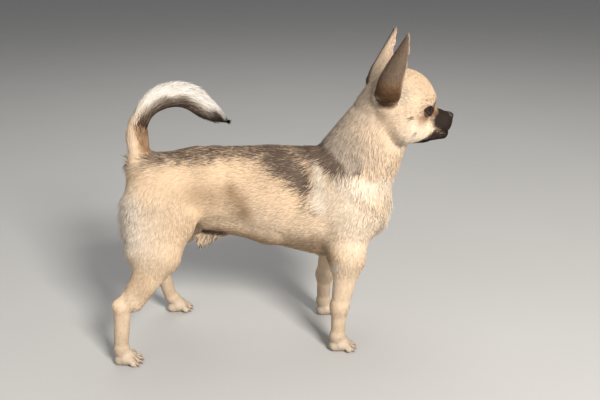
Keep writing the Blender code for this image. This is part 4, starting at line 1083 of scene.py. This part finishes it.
@dataclass
class Graph:
    """A node tree under construction."""

    tree: bpy.types.NodeTree

    def add(self, kind: str, inputs: dict | None = None, **settings) -> bpy.types.Node:
        """Adds a node, sets it, and wires or sets its inputs by name or number."""
        node = self.tree.nodes.new(kind)
        for key, value in settings.items():
            setattr(node, key, value)
        for key, value in (inputs or {}).items():
            if isinstance(value, bpy.types.NodeSocket):
                self.tree.links.new(value, node.inputs[key])
            else:
                node.inputs[key].default_value = value
        return node

    def maths(self, operation: str, *values) -> bpy.types.NodeSocket:
        """The result of one Math node."""
        kind = "ShaderNodeMath"
        return self.add(kind, dict(enumerate(values)), operation=operation).outputs[0]


def new_finish(name: str) -> tuple[bpy.types.Material, Graph, bpy.types.Node]:
    """A material with an empty Principled shader."""
    material = bpy.data.materials.new(name)
    material.use_nodes = True
    graph = Graph(material.node_tree)
    shader = next(n for n in material.node_tree.nodes if n.type == "BSDF_PRINCIPLED")
    return material, graph, shader


@dataclass(frozen=True)
class SkinFinish:
    """The skin under the coat, bare on the lids, round the nose and on the pads."""

    name: str = "skin_under_coat"
    roughness: float = 0.62
    grain: float = 900.0

    def make(self) -> bpy.types.Material:
        """Builds the material."""
        material, graph, shader = new_finish(self.name)
        pale = graph.add("ShaderNodeAttribute", attribute_name="pale").outputs["Color"]
        dark = graph.add("ShaderNodeAttribute", attribute_name="dark").outputs["Color"]
        mix = graph.add("ShaderNodeAttribute", attribute_name="mix").outputs["Fac"]
        mix = graph.add("ShaderNodeClamp", {0: graph.maths("MULTIPLY_ADD", mix, 1.6, -0.24)}).outputs[0]
        spot = graph.add("ShaderNodeTexCoord").outputs["Object"]
        grain = graph.add("ShaderNodeTexNoise", {"Vector": spot, "Scale": self.grain, "Detail": 4.0})
        coat = graph.add("ShaderNodeMix", {0: mix, 6: pale, 7: dark}, data_type="RGBA").outputs[2]
        value = graph.maths("MULTIPLY_ADD", grain.outputs["Fac"], 0.2, 0.82)
        shade = graph.add("ShaderNodeHueSaturation", {"Color": coat, "Value": value})
        bump = graph.add("ShaderNodeBump", {"Height": grain.outputs["Fac"], "Strength": 0.5, "Distance": 0.0004})
        graph.tree.links.new(shade.outputs[0], shader.inputs["Base Color"])
        graph.tree.links.new(bump.outputs[0], shader.inputs["Normal"])
        shader.inputs["Roughness"].default_value = self.roughness
        shader.inputs["Specular IOR Level"].default_value = 0.12
        return material


@dataclass(frozen=True)
class HairFinish:
    """Hair of the coat, varied from tuft to tuft and paler towards its tips."""

    name: str = "hair"
    roughness: float = 0.6
    root_shade: float = 0.88
    tip_shade: float = 1.04
    spread: float = 0.07

    def make(self) -> bpy.types.Material:
        """Builds the material."""
        material, graph, shader = new_finish(self.name)
        pale = graph.add("ShaderNodeAttribute", attribute_name="pale").outputs["Color"]
        dark = graph.add("ShaderNodeAttribute", attribute_name="dark").outputs["Color"]
        mix = graph.add("ShaderNodeAttribute", attribute_name="mix").outputs["Fac"]
        along = graph.add("ShaderNodeAttribute", attribute_name="along").outputs["Fac"]
        draw = graph.add("ShaderNodeAttribute", attribute_name="draw").outputs["Fac"]
        edge = graph.maths("SUBTRACT", mix, graph.maths("MULTIPLY_ADD", draw, 0.72, 0.1))
        pick = graph.maths("MULTIPLY_ADD", edge, 1.6, 0.5)
        pick = graph.add("ShaderNodeClamp", {0: pick}).outputs[0]
        coat = graph.add("ShaderNodeMix", {0: pick, 6: pale, 7: dark}, data_type="RGBA").outputs[2]
        tone = graph.maths("MULTIPLY_ADD", along, self.tip_shade - self.root_shade, self.root_shade)
        vary = graph.maths("FRACT", graph.maths("MULTIPLY", draw, 17.31))
        vary = graph.maths("MULTIPLY_ADD", vary, self.spread * 2, 1 - self.spread)
        value = graph.maths("MULTIPLY", tone, vary)
        shade = graph.add("ShaderNodeHueSaturation", {"Color": coat, "Value": value})
        graph.tree.links.new(shade.outputs[0], shader.inputs["Base Color"])
        shader.inputs["Roughness"].default_value = self.roughness
        shader.inputs["Specular IOR Level"].default_value = 0.08
        return material


@dataclass(frozen=True)
class NoseFinish:
    """Moist black leather with fine pebbling."""

    name: str = "nose_leather"
    roughness: float = 0.42
    pebble: float = 1500.0

    def make(self) -> bpy.types.Material:
        """Builds the material."""
        material, graph, shader = new_finish(self.name)
        spot = graph.add("ShaderNodeTexCoord").outputs["Object"]
        cell = graph.add("ShaderNodeTexVoronoi", {"Vector": spot, "Scale": self.pebble})
        noise = graph.add("ShaderNodeTexNoise", {"Vector": spot, "Scale": 260.0, "Detail": 3.0})
        ramp = graph.add("ShaderNodeValToRGB", {"Fac": noise.outputs["Fac"]})
        ramp.color_ramp.elements[0].color = (0.018, 0.015, 0.016, 1)
        ramp.color_ramp.elements[1].color = (0.036, 0.030, 0.030, 1)
        bump = graph.add("ShaderNodeBump", {"Height": cell.outputs["Distance"], "Strength": 0.45, "Distance": 0.0003})
        graph.tree.links.new(ramp.outputs[0], shader.inputs["Base Color"])
        graph.tree.links.new(bump.outputs[0], shader.inputs["Normal"])
        shader.inputs["Roughness"].default_value = self.roughness
        shader.inputs["Specular IOR Level"].default_value = 0.3
        return material


@dataclass(frozen=True)
class EyeFinish:
    """A dark brown eye under a wet, clear front."""

    name: str = "eye"

    def make(self) -> bpy.types.Material:
        """Builds the material: the attribute is 0 at the pupil's middle and 1 behind the iris."""
        material, graph, shader = new_finish(self.name)
        iris = graph.add("ShaderNodeAttribute", attribute_name="iris").outputs["Fac"]
        spot = graph.add("ShaderNodeTexCoord").outputs["Object"]
        noise = graph.add("ShaderNodeTexNoise", {"Vector": spot, "Scale": 1500.0, "Detail": 4.0})
        mixed = graph.maths("MULTIPLY_ADD", noise.outputs["Fac"], 0.10, graph.maths("SUBTRACT", iris, 0.05))
        ramp = graph.add("ShaderNodeValToRGB", {"Fac": mixed})
        stops = ramp.color_ramp.elements
        stops[0].position, stops[0].color = 0.34, (0.003, 0.003, 0.003, 1)
        stops[1].position, stops[1].color = 0.42, (0.022, 0.010, 0.005, 1)
        for position, colour in ((0.70, (0.040, 0.018, 0.008, 1)), (0.84, (0.008, 0.005, 0.004, 1)),
                                 (0.97, (0.06, 0.04, 0.03, 1))):
            stops.new(position).color = colour
        graph.tree.links.new(ramp.outputs[0], shader.inputs["Base Color"])
        shader.inputs["Roughness"].default_value = 0.12
        shader.inputs["Specular IOR Level"].default_value = 0.25
        shader.inputs["Coat Weight"].default_value = 0.45
        shader.inputs["Coat Roughness"].default_value = 0.05
        return material


@dataclass(frozen=True)
class ClawFinish:
    """Dark horn, paler where it leaves the toe."""

    name: str = "claw_horn"

    def make(self) -> bpy.types.Material:
        """Builds the material."""
        material, graph, shader = new_finish(self.name)
        spot = graph.add("ShaderNodeTexCoord").outputs["Object"]
        noise = graph.add("ShaderNodeTexNoise", {"Vector": spot, "Scale": 420.0, "Detail": 5.0, "Roughness": 0.7})
        along = graph.add("ShaderNodeAttribute", attribute_name="along").outputs["Fac"]
        level = graph.maths("MULTIPLY_ADD", noise.outputs["Fac"], 0.35, graph.maths("MULTIPLY", along, 0.75))
        ramp = graph.add("ShaderNodeValToRGB", {"Fac": level})
        ramp.color_ramp.elements[0].color = (0.46, 0.34, 0.24, 1)
        ramp.color_ramp.elements[1].color = (0.20, 0.15, 0.115, 1)
        bump = graph.add("ShaderNodeBump", {"Height": noise.outputs["Fac"], "Strength": 0.3, "Distance": 0.0002})
        graph.tree.links.new(ramp.outputs[0], shader.inputs["Base Color"])
        graph.tree.links.new(bump.outputs[0], shader.inputs["Normal"])
        shader.inputs["Roughness"].default_value = 0.38
        return material


@dataclass(frozen=True)
class FloorFinish:
    """A plain pale studio floor."""

    name: str = "studio_floor"

    def make(self) -> bpy.types.Material:
        """Builds the material."""
        material, graph, shader = new_finish(self.name)
        spot = graph.add("ShaderNodeTexCoord").outputs["Object"]
        noise = graph.add("ShaderNodeTexNoise", {"Vector": spot, "Scale": 6.0, "Detail": 3.0})
        ramp = graph.add("ShaderNodeValToRGB", {"Fac": noise.outputs["Fac"]})
        ramp.color_ramp.elements[0].color = (0.42, 0.415, 0.405, 1)
        ramp.color_ramp.elements[1].color = (0.445, 0.44, 0.43, 1)
        graph.tree.links.new(ramp.outputs[0], shader.inputs["Base Color"])
        shader.inputs["Roughness"].default_value = 0.8
        return material


# Coat pieces

@dataclass(frozen=True)
class TuftShape:
    """One tuft: a tapered, three-sided blade, as shares of its length and width."""

    rings: tuple[float, ...]
    full: float = 0.38  # thickness as a share of its width

    def make(self, name: str) -> bpy.types.Object:
        """Builds the tuft, closed at its root, with each point's place on it stored."""
        rows, faces = [], [(0, 2, 1)]
        for share in self.rings:
            wide = 0.75 + 0.6 * share if share < 0.4 else 1.0 - 0.75 * ((share - 0.4) / 0.6) ** 1.4
            for side, lift in ((-0.5, 0.0), (0.5, 0.0), (0.0, 1.0)):
                rows.append((share, side * wide, lift * wide * self.full, side + 0.5))
        rows.append((1.0, 0.0, 0.0, 0.5))
        last = len(self.rings) - 1
        for ring in range(last):
            for corner in range(3):
                a, b = ring * 3 + corner, ring * 3 + (corner + 1) % 3
                faces.append((a, b, b + 3, a + 3))
        faces += [(last * 3 + c, last * 3 + (c + 1) % 3, len(rows) - 1) for c in range(3)]
        table = np.array(rows)
        mesh = bpy.data.meshes.new(name)
        mesh.from_pydata(table[:, :3].tolist(), [], faces)
        put(mesh, "along", "FLOAT", table[:, 0])
        put(mesh, "frame", "FLOAT_VECTOR", table[:, 1:])
        obj = bpy.data.objects.new(name, mesh)
        bpy.context.scene.collection.objects.link(obj)
        return obj


class CoatTree:
    """The node tree that grows tufts out of a skin, along the lie stored on it."""

    INPUTS = (
        ("Region", "NodeSocketFloat"), ("Share of tufts", "NodeSocketFloat"),
        ("Share of width", "NodeSocketFloat"), ("Disorder", "NodeSocketFloat"),
        ("Seed", "NodeSocketInt"), ("Tuft", "NodeSocketObject"), ("Finish", "NodeSocketMaterial"),
    )

    own_normal = 0.6  # how much of a blade's own shading shows beside the skin's

    def __init__(self) -> None:
        """Builds the tree, from scattered roots to posed blades."""
        self.tree = bpy.data.node_groups.new("grow_coat", "GeometryNodeTree")
        face = self.tree.interface
        face.new_socket("Geometry", in_out="INPUT", socket_type="NodeSocketGeometry")
        self.ids = {}
        for name, kind in self.INPUTS:
            self.ids[name] = face.new_socket(name, in_out="INPUT", socket_type=kind).identifier
        face.new_socket("Geometry", in_out="OUTPUT", socket_type="NodeSocketGeometry")
        self.graph = Graph(self.tree)
        self.given = self.graph.add("NodeGroupInput").outputs
        roots = self.scatter()
        self.graph.add("NodeGroupOutput", {0: self.pose(roots)})

    def read(self, name: str, kind: str = "FLOAT") -> bpy.types.NodeSocket:
        """A named value stored on the geometry."""
        node = self.graph.add("GeometryNodeInputNamedAttribute", {"Name": name}, data_type=kind)
        return next(s for s in node.outputs if s.enabled and s.name == "Attribute")

    def vector(self, operation: str, *values) -> bpy.types.NodeSocket:
        """The result of one Vector Math node."""
        inputs = dict(enumerate(values))
        if operation == "SCALE":
            inputs = {0: values[0], "Scale": values[1]}
        node = self.graph.add("ShaderNodeVectorMath", inputs, operation=operation)
        return node.outputs["Value" if operation == "DOT_PRODUCT" else "Vector"]

    def random(self, low, high, seed: int, kind: str = "FLOAT") -> bpy.types.NodeSocket:
        """A random value per point, drawn from the piece's seed."""
        own = self.graph.maths("ADD", self.given["Seed"], float(seed))
        node = self.graph.add("FunctionNodeRandomValue", data_type=kind)
        ends = [s for s in node.inputs if s.enabled and s.name in ("Min", "Max")]
        ends[0].default_value, ends[1].default_value = low, high
        self.tree.links.new(own, node.inputs["Seed"])
        return next(s for s in node.outputs if s.enabled)

    def keep(self, geometry, name: str, value, kind: str = "FLOAT", domain: str = "POINT"):
        """Stores a named value on the geometry."""
        node = self.graph.add("GeometryNodeStoreNamedAttribute", {"Geometry": geometry, "Name": name},
                              data_type=kind, domain=domain)
        slot = next(s for s in node.inputs if s.enabled and s.name == "Value")
        self.tree.links.new(value, slot)
        return node.outputs[0]

    def scatter(self) -> bpy.types.NodeSocket:
        """Roots over the wanted region, each with its measures varied a little."""
        maths = self.graph.maths
        off = maths("ABSOLUTE", maths("SUBTRACT", self.read("region"), self.given["Region"]))
        inside = maths("LESS_THAN", off, 0.5)
        dense = maths("MULTIPLY", self.read("dense"), self.given["Share of tufts"])
        spread = self.graph.add("GeometryNodeDistributePointsOnFaces", {
            "Mesh": self.given["Geometry"], "Density": maths("MULTIPLY", dense, inside),
            "Seed": self.given["Seed"],
        }, distribute_method="RANDOM")
        points = spread.outputs["Points"]
        points = self.keep(points, "patch", self.read("OFBake", "FLOAT_VECTOR"), "FLOAT_VECTOR")
        normal = spread.outputs["Normal"]
        points = self.keep(points, "up", normal, "FLOAT_VECTOR")
        shake = self.random((-1, -1, -1), (1, 1, 1), 3, "FLOAT_VECTOR")
        shake = self.vector("SCALE", shake, self.given["Disorder"])
        spot = self.graph.add("GeometryNodeInputPosition").outputs[0]
        drift = self.graph.add("ShaderNodeTexNoise", {"Vector": spot, "Scale": 70.0, "Detail": 1.0})
        drift = self.vector("SUBTRACT", drift.outputs["Color"], (0.5, 0.5, 0.5))
        drift = self.vector("SCALE", drift, maths("MULTIPLY", self.given["Disorder"], 1.8))
        way = self.vector("ADD", self.vector("ADD", self.read("flow", "FLOAT_VECTOR"), shake), drift)
        lean = self.vector("SCALE", normal, self.vector("DOT_PRODUCT", way, normal))
        way = self.vector("NORMALIZE", self.vector("SUBTRACT", way, lean))
        points = self.keep(points, "way", way, "FLOAT_VECTOR")
        points = self.keep(points, "root", spot, "FLOAT_VECTOR")
        points = self.keep(points, "draw", self.random(0.0, 1.0, 5))
        points = self.keep(points, "length", maths("MULTIPLY", self.read("length"), self.random(0.68, 1.12, 7)))
        points = self.keep(points, "rise", maths("MULTIPLY", self.read("rise"), self.random(0.55, 1.12, 9)))
        points = self.keep(points, "sway", self.random(-0.13, 0.13, 11))
        wide = maths("MULTIPLY", self.read("wide"), self.given["Share of width"])
        return self.keep(points, "wide", maths("MULTIPLY", wide, self.random(0.7, 1.3, 13)))

    def pose(self, roots: bpy.types.NodeSocket) -> bpy.types.NodeSocket:
        """Blades on the roots, bent along their lie, with their baking patches."""
        maths = self.graph.maths
        tuft = self.graph.add("GeometryNodeObjectInfo", {"Object": self.given["Tuft"]})
        many = self.graph.add("GeometryNodeInstanceOnPoints", {
            "Points": roots, "Instance": tuft.outputs["Geometry"],
        })
        real = self.graph.add("GeometryNodeRealizeInstances", {"Geometry": many.outputs[0]}).outputs[0]
        along, length, wide = self.read("along"), self.read("length"), self.read("wide")
        way, up = self.read("way", "FLOAT_VECTOR"), self.read("up", "FLOAT_VECTOR")
        frame = self.graph.add("ShaderNodeSeparateXYZ", {0: self.read("frame", "FLOAT_VECTOR")}).outputs
        square = maths("MULTIPLY", along, along)
        ahead = maths("MULTIPLY", length, maths("MULTIPLY_ADD", square, -0.06, along))
        arch = maths("MULTIPLY_ADD", square, -0.42, maths("MULTIPLY", along, 1.35))
        height = maths("MULTIPLY", maths("MULTIPLY", arch, self.read("rise")), length)
        height = maths("ADD", height, maths("MULTIPLY_ADD", frame[1], wide, -0.00035))
        fallen = maths("MULTIPLY", maths("MULTIPLY", ahead, ahead), self.read("fall"))
        height = maths("SUBTRACT", height, fallen)
        bend = maths("MULTIPLY", maths("MULTIPLY", square, self.read("sway")), length)
        beside = maths("MULTIPLY_ADD", frame[0], wide, bend)
        across = self.vector("CROSS_PRODUCT", up, way)
        spot = self.vector("ADD", self.read("root", "FLOAT_VECTOR"), self.vector("SCALE", way, ahead))
        spot = self.vector("ADD", spot, self.vector("SCALE", up, height))
        spot = self.vector("ADD", spot, self.vector("SCALE", across, beside))
        low = self.graph.add("ShaderNodeSeparateXYZ", {0: spot}).outputs
        above = maths("MAXIMUM", low[2], 0.0004)
        spot = self.graph.add("ShaderNodeCombineXYZ", {0: low[0], 1: low[1], 2: above}).outputs[0]
        real = self.graph.add("GeometryNodeSetPosition", {"Geometry": real, "Position": spot}).outputs[0]
        own = self.graph.add("ShaderNodeCombineXYZ", {0: along, 1: frame[2]}).outputs[0]
        patch = self.vector("SCALE", self.vector("SUBTRACT", own, (0.5, 0.5, 0)), 0.003)
        patch = self.vector("ADD", self.read("patch", "FLOAT_VECTOR"), patch)
        for name in ("OFBake",):
            node = self.graph.add("GeometryNodeRemoveAttribute", {"Geometry": real, "Name": name})
            real = node.outputs[0]
        real = self.keep(real, "OFBake", patch, "FLOAT2", "CORNER")
        own = self.graph.add("GeometryNodeInputNormal").outputs[0]
        soft = self.vector("ADD", up, self.vector("SCALE", own, self.own_normal))
        real = self.graph.add("GeometryNodeSetMeshNormal", {
            "Mesh": real, "Custom Normal": self.vector("NORMALIZE", soft),
        }, mode="FREE", domain="POINT").outputs[0]
        finish = self.given["Finish"]
        return self.graph.add("GeometryNodeSetMaterial", {"Geometry": real, "Material": finish}).outputs[0]


@dataclass(frozen=True)
class CoatPiece:
    """One piece of the coat: its region, its share of tufts and its tuft's rings."""

    SPARE: ClassVar[tuple[str, ...]] = (
        "frame", "patch", "up", "way", "root", "length", "rise", "sway", "wide", "dense", "region",
        "bare", "flow", "fall", "material_index",
    )

    region: Region
    slot: str
    share: float = 1.0
    width: float = 1.0
    disorder: float = 0.10
    rings: tuple[float, ...] = (0.0, 0.5)

    def grow(self, skin: bpy.types.Object, tree: CoatTree, finish: bpy.types.Material) -> bpy.types.Object:
        """Grows the piece out of the skin as one plain mesh.

        Args:
            skin: The dressed skin.
            tree: The tree that grows the tufts.
            finish: The hair's material.

        Returns:
            The piece, riding on the dog's body.
        """
        tuft = TuftShape(self.rings).make("tuft")
        obj = bpy.data.objects.new(f"coat_{self.region.name.lower()}", skin.data.copy())
        bpy.context.scene.collection.objects.link(obj)
        modifier = obj.modifiers.new("grow", "NODES")
        modifier.node_group = tree.tree
        values = {
            "Region": float(self.region.value), "Share of tufts": self.share,
            "Share of width": self.width, "Disorder": self.disorder,
            "Seed": SEED + self.region.value * 40, "Tuft": tuft, "Finish": finish,
        }
        for name, value in values.items():
            modifier[tree.ids[name]] = value
        baked(obj)
        bpy.data.objects.remove(tuft)
        for name in self.SPARE:
            if name in obj.data.attributes:
                obj.data.attributes.remove(obj.data.attributes[name])
        obj.data.materials.clear()
        obj.data.materials.append(finish)
        obj.data.shade_smooth()
        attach(obj, "root")
        return obj


COAT = (
    CoatPiece(Region.RIBS_RIGHT, "coat", 0.74, 1.05),
    CoatPiece(Region.RIBS_LEFT, "coat", 0.74, 1.05),
    CoatPiece(Region.HAUNCH_RIGHT, "coat", 0.74, 1.05),
    CoatPiece(Region.HAUNCH_LEFT, "coat", 0.74, 1.05),
    CoatPiece(Region.NECK_RIGHT, "saddle", 0.8, 1.04, rings=(0.0, 0.35, 0.7)),
    CoatPiece(Region.NECK_LEFT, "saddle", 0.8, 1.04, rings=(0.0, 0.35, 0.7)),
    CoatPiece(Region.HEAD_RIGHT, "coat", 0.87, disorder=0.09),
    CoatPiece(Region.HEAD_LEFT, "coat", 0.87, disorder=0.09),
    CoatPiece(Region.FORELEGS, "coat", 0.74, 1.05),
    CoatPiece(Region.HIND_LEGS, "coat", 0.76, 1.04),
    CoatPiece(Region.EARS, "ear_fur", 0.94, disorder=0.2),
    CoatPiece(Region.TAIL, "tail_fur", disorder=0.11, rings=(0.0, 0.35, 0.7)),
)


# Eyes, nose and claws

def linked(name: str, bm: bmesh.types.BMesh, finish: bpy.types.Material) -> bpy.types.Object:
    """A finished piece from a bmesh in the dog's own frame, riding on its body."""
    bmesh.ops.recalc_face_normals(bm, faces=bm.faces[:])
    mesh = bpy.data.meshes.new(name)
    bm.to_mesh(mesh)
    bm.free()
    obj = bpy.data.objects.new(name, mesh)
    bpy.context.scene.collection.objects.link(obj)
    write_coordinates(obj, place(coordinates(obj)))
    mesh.materials.append(finish)
    mesh.shade_smooth()
    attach(obj, "root")
    return obj


@dataclass
class Eyeball:
    """An eyeball with a bulging front and a stored iris."""

    eye: Eye
    bulge: float = 0.045
    front: float = 30.0  # half angle of the clear front, in degrees

    def make(self, finish: bpy.types.Material) -> bpy.types.Object:
        """Builds the ball and stores the angle from its gaze."""
        centre, gaze, *_ = self.eye.axes()
        bm = bmesh.new()
        bmesh.ops.create_icosphere(bm, subdivisions=5, radius=1)
        angles = []
        for vert in bm.verts:
            away = np.array(vert.co)
            angle = math.degrees(math.acos(max(-1.0, min(1.0, float(away @ gaze)))))
            swell = 1 + self.bulge * math.exp(-((angle / self.front) ** 2))
            vert.co = centre + away * self.eye.radius * swell
            angles.append(angle / self.eye.iris * 0.84)
        obj = linked(f"eyeball_{self.eye.side}", bm, finish)
        put(obj.data, "iris", "FLOAT", np.array(angles))
        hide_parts(f"eye_{self.eye.side}")
        return obj


@dataclass
class Eyelids:
    """The rolled, dark rimmed lids of one eye, laid over its ball and sunk into the skin round it."""

    eye: Eye
    # degrees beyond the opening, height over the ball, share of dark
    rings: tuple = (
        (21, -0.8, 0.2), (16, 0.3, 0.35), (11, 0.85, 0.6), (6, 1.1, 0.9), (2.5, 1.1, 1.0),
        (0.5, 0.95, 1.0), (-0.6, 0.6, 1.0), (0.5, 0.1, 1.0), (21, -1.8, 1.0),
    )
    columns: int = 80

    def make(self, finish: bpy.types.Material) -> bpy.types.Object:
        """Builds the lids as one closed ring."""
        bm = bmesh.new()
        rows = []
        for grow, lift, _ in self.rings:
            ring = self.eye.ring(grow, lift, self.columns)
            rows.append([bm.verts.new(point) for point in ring])
        for low, high in zip(rows, rows[1:] + rows[:1]):
            for step in range(self.columns):
                later = (step + 1) % self.columns
                bm.faces.new((low[step], low[later], high[later], high[step]))
        obj = linked(f"eyelids_{self.eye.side}", bm, finish)
        turn = np.arange(self.columns) * 2 * math.pi / self.columns
        front = np.clip(np.cos(turn) * SIDES[self.eye.side], 0, 1)
        mix = np.concatenate([np.maximum(dark, front * 0.9) for *_, dark in self.rings])
        put(obj.data, "mix", "FLOAT", mix)
        for name, tint in (("pale", Pelt.LID), ("dark", Pelt.MASK)):
            put(obj.data, name, "FLOAT_COLOR", np.tile((*tint.value.array(), 1.0), (len(mix), 1)))
        return obj


@dataclass
class Nose:
    """The bare nose: a blunt pad, broad above, with a furrow and two comma-shaped nostrils."""

    centre: Triple = (149.6, 0, 244.0)
    radii: Triple = (6.4, 6.0, 4.6)
    nostril: tuple = ((156.8, 2.5, 243.6), (154.6, 3.9, 243.4), (152.4, 5.2, 243.6))
    hole: float = 1.35
    slit: float = 0.75

    def make(self, finish: bpy.types.Material) -> bpy.types.Object:
        """Builds the pad and presses the nostrils into it."""
        bm = bmesh.new()
        bmesh.ops.create_uvsphere(bm, u_segments=72, v_segments=48, radius=1)
        path = np.array(self.nostril)
        for vert in bm.verts:
            x, y, z = vert.co
            furrow = 0.8 * math.exp(-((y / 0.13) ** 2)) * max(0.0, x) * max(0.0, 0.6 - z)
            blunt = math.copysign(abs(x) ** 0.8, x)
            spot = np.array((
                self.centre[0] + blunt * self.radii[0] - furrow,
                y * (1 + 0.16 * z) * self.radii[1], self.centre[2] + z * self.radii[2],
            ))
            mirror = spot * (1, np.sign(spot[1]) or 1, 1)
            hole = float(np.linalg.norm((mirror - path[0])[1:]))
            dent = 3.4 * math.exp(-((hole / self.hole) ** 4)) * max(0.0, x)
            for a, b in zip(path, path[1:]):
                axis = b - a
                share = float(np.clip((mirror - a) @ axis / (axis @ axis), 0, 1))
                away = float(np.linalg.norm(mirror - a - share * axis))
                dent = max(dent, 1.3 * math.exp(-((away / self.slit) ** 2)))
            inward = (np.array(self.centre) - spot) / np.linalg.norm(np.array(self.centre) - spot)
            vert.co = spot + inward * dent
        obj = linked("nose_pad", bm, finish)
        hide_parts("nose")
        return obj


@dataclass
class Claws:
    """The claws of one paw, each a bent cone rooted in its toe."""

    body: Body
    paw: str
    sides: int = 10
    steps: int = 3

    def make(self, finish: bpy.types.Material) -> bpy.types.Object:
        """Builds the four claws as one piece."""
        bm = bmesh.new()
        up, along = np.array((0.0, 0.0, 1.0)), []
        for root, way, reach in self.body.toes(self.paw):
            toe = root + way * (reach - 3.2)
            length = self.body.claw_length
            spine = [
                (*(toe + way * 0.8 + up * 5.2), 1.4), (*(toe + way * 3.3 + up * 5.0), 1.35),
                (*(toe + way * (3.3 + length * 0.5) + up * 3.9), 1.0),
                (*(toe + way * (3.3 + length * 0.9) + up * 1.5), 0.22),
            ]
            rows = smooth_rows(spine, self.steps)
            ahead = unit(np.gradient(rows[:, :3], axis=0))
            beside = np.cross(up, way)
            rings = []
            for index, row in enumerate(rows):
                over = np.cross(ahead[index], beside)
                ring = []
                for step in range(self.sides):
                    turn = 2 * math.pi * step / self.sides
                    offset = beside * math.cos(turn) * 0.8 + over * math.sin(turn)
                    ring.append(bm.verts.new(row[:3] + offset * row[3]))
                    along.append(index / (len(rows) - 1))
                rings.append(ring)
            for low, high in zip(rings, rings[1:]):
                for step in range(self.sides):
                    later = (step + 1) % self.sides
                    bm.faces.new((low[step], low[later], high[later], high[step]))
            bm.faces.new(rings[0])
            bm.faces.new(rings[-1])
        obj = linked(f"claws_{self.paw}", bm, finish)
        put(obj.data, "along", "FLOAT", np.array(along))
        return obj


# Studio

@dataclass
class Studio:
    """A pale floor, soft lights and the camera at the photograph's angle."""

    eye: Triple = (-55.0, -698.0, 422.0)  # in the dog's own frame
    pitch: float = 20.7  # degrees below level
    turn: float = 4.5  # degrees from straight across the dog
    lens: float = 43.2
    ambient: float = 0.26

    def floor(self) -> bpy.types.Object:
        """The floor, far wider than the view."""
        bm = bmesh.new()
        bmesh.ops.create_grid(bm, x_segments=8, y_segments=8, size=14)
        mesh = bpy.data.meshes.new("floor")
        bm.to_mesh(mesh)
        bm.free()
        obj = bpy.data.objects.new("floor", mesh)
        bpy.context.scene.collection.objects.link(obj)
        mesh.materials.append(FloorFinish().make())
        return obj

    def light(self, name: str, spot: Triple, size: float, power: float, colour: Triple) -> None:
        """One square soft light that looks at the dog's middle."""
        lamp = bpy.data.lights.new(name, "AREA")
        lamp.shape, lamp.size, lamp.energy, lamp.color = "SQUARE", size, power, colour
        obj = bpy.data.objects.new(name, lamp)
        obj.location = spot
        way = Vector((0.02, 0.0, 0.17)) - Vector(spot)
        obj.rotation_euler = way.to_track_quat("-Z", "Y").to_euler()
        bpy.context.scene.collection.objects.link(obj)

    def camera(self) -> bpy.types.Object:
        """The camera at the photograph's place."""
        lens = bpy.data.cameras.new("camera")
        lens.lens, lens.sensor_width, lens.sensor_fit = self.lens, 36.0, "HORIZONTAL"
        lens.clip_start, lens.clip_end = 0.01, 60.0
        obj = bpy.data.objects.new("camera", lens)
        down, aside = math.radians(self.pitch), math.radians(self.turn)
        level = Vector((math.sin(aside), math.cos(aside), 0)) * math.cos(down)
        way = level - Vector((0, 0, math.sin(down)))
        obj.location = place(np.array(self.eye))
        obj.rotation_euler = way.to_track_quat("-Z", "Y").to_euler()
        bpy.context.scene.collection.objects.link(obj)
        bpy.context.scene.camera = obj
        return obj

    def build(self) -> None:
        """Sets up the whole studio."""
        self.floor()
        self.light("key", (0.65, -1.5, 1.25), 0.5, 67.0, (1.0, 0.96, 0.90))
        self.light("fill", (-1.2, -1.0, 0.7), 1.4, 5.0, (0.95, 0.97, 1.0))
        self.light("top", (0.0, 0.7, 1.6), 1.2, 9.0, (1.0, 0.98, 0.95))
        world = bpy.data.worlds.new("studio")
        world.use_nodes = True
        back = next(n for n in world.node_tree.nodes if n.type == "BACKGROUND")
        back.inputs["Color"].default_value = (0.95, 0.97, 1.0, 1)
        back.inputs["Strength"].default_value = self.ambient
        bpy.context.scene.world = world
        bpy.context.scene.view_settings.view_transform = "Standard"
        self.camera()


FLESH = (
    "head", "neck", "torso", "ear_right", "ear_left", "tail_root", "tail_middle", "tail_tip",
    "upper_arm_right", "upper_arm_left", "forearm_right", "forearm_left", "forepaw_right",
    "forepaw_left", "thigh_right", "thigh_left", "lower_leg_right", "lower_leg_left",
    "rear_pastern_right", "rear_pastern_left", "hindpaw_right", "hindpaw_left",
)


def report(obj: bpy.types.Object) -> None:
    """Logs a piece's name and triangles."""
    count = sum(len(face.vertices) - 2 for face in obj.data.polygons)
    LOG.info("%s: %d triangles", obj.name, count)


def main() -> None:
    """Builds the dog's skin, coat and small parts, then the studio."""
    logging.basicConfig(level=logging.INFO, format="%(message)s")
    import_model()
    body = Body()
    skin = Skin(body).build()
    skin.data.materials.append(SkinFinish().make())
    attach(skin, "root")
    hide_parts(*FLESH)
    report(skin)
    tree, hair = CoatTree(), HairFinish().make()
    for piece in COAT:
        report(piece.grow(skin, tree, hair))
    eye_finish = EyeFinish().make()
    for eye in body.eyes:
        report(Eyeball(eye).make(eye_finish))
        report(Eyelids(eye).make(skin.data.materials[0]))
    report(Nose().make(NoseFinish().make()))
    horn = ClawFinish().make()
    for paw, *_ in body.paws:
        report(Claws(body, paw).make(horn))
    Studio().build()


if __name__ == "__main__":
    main()
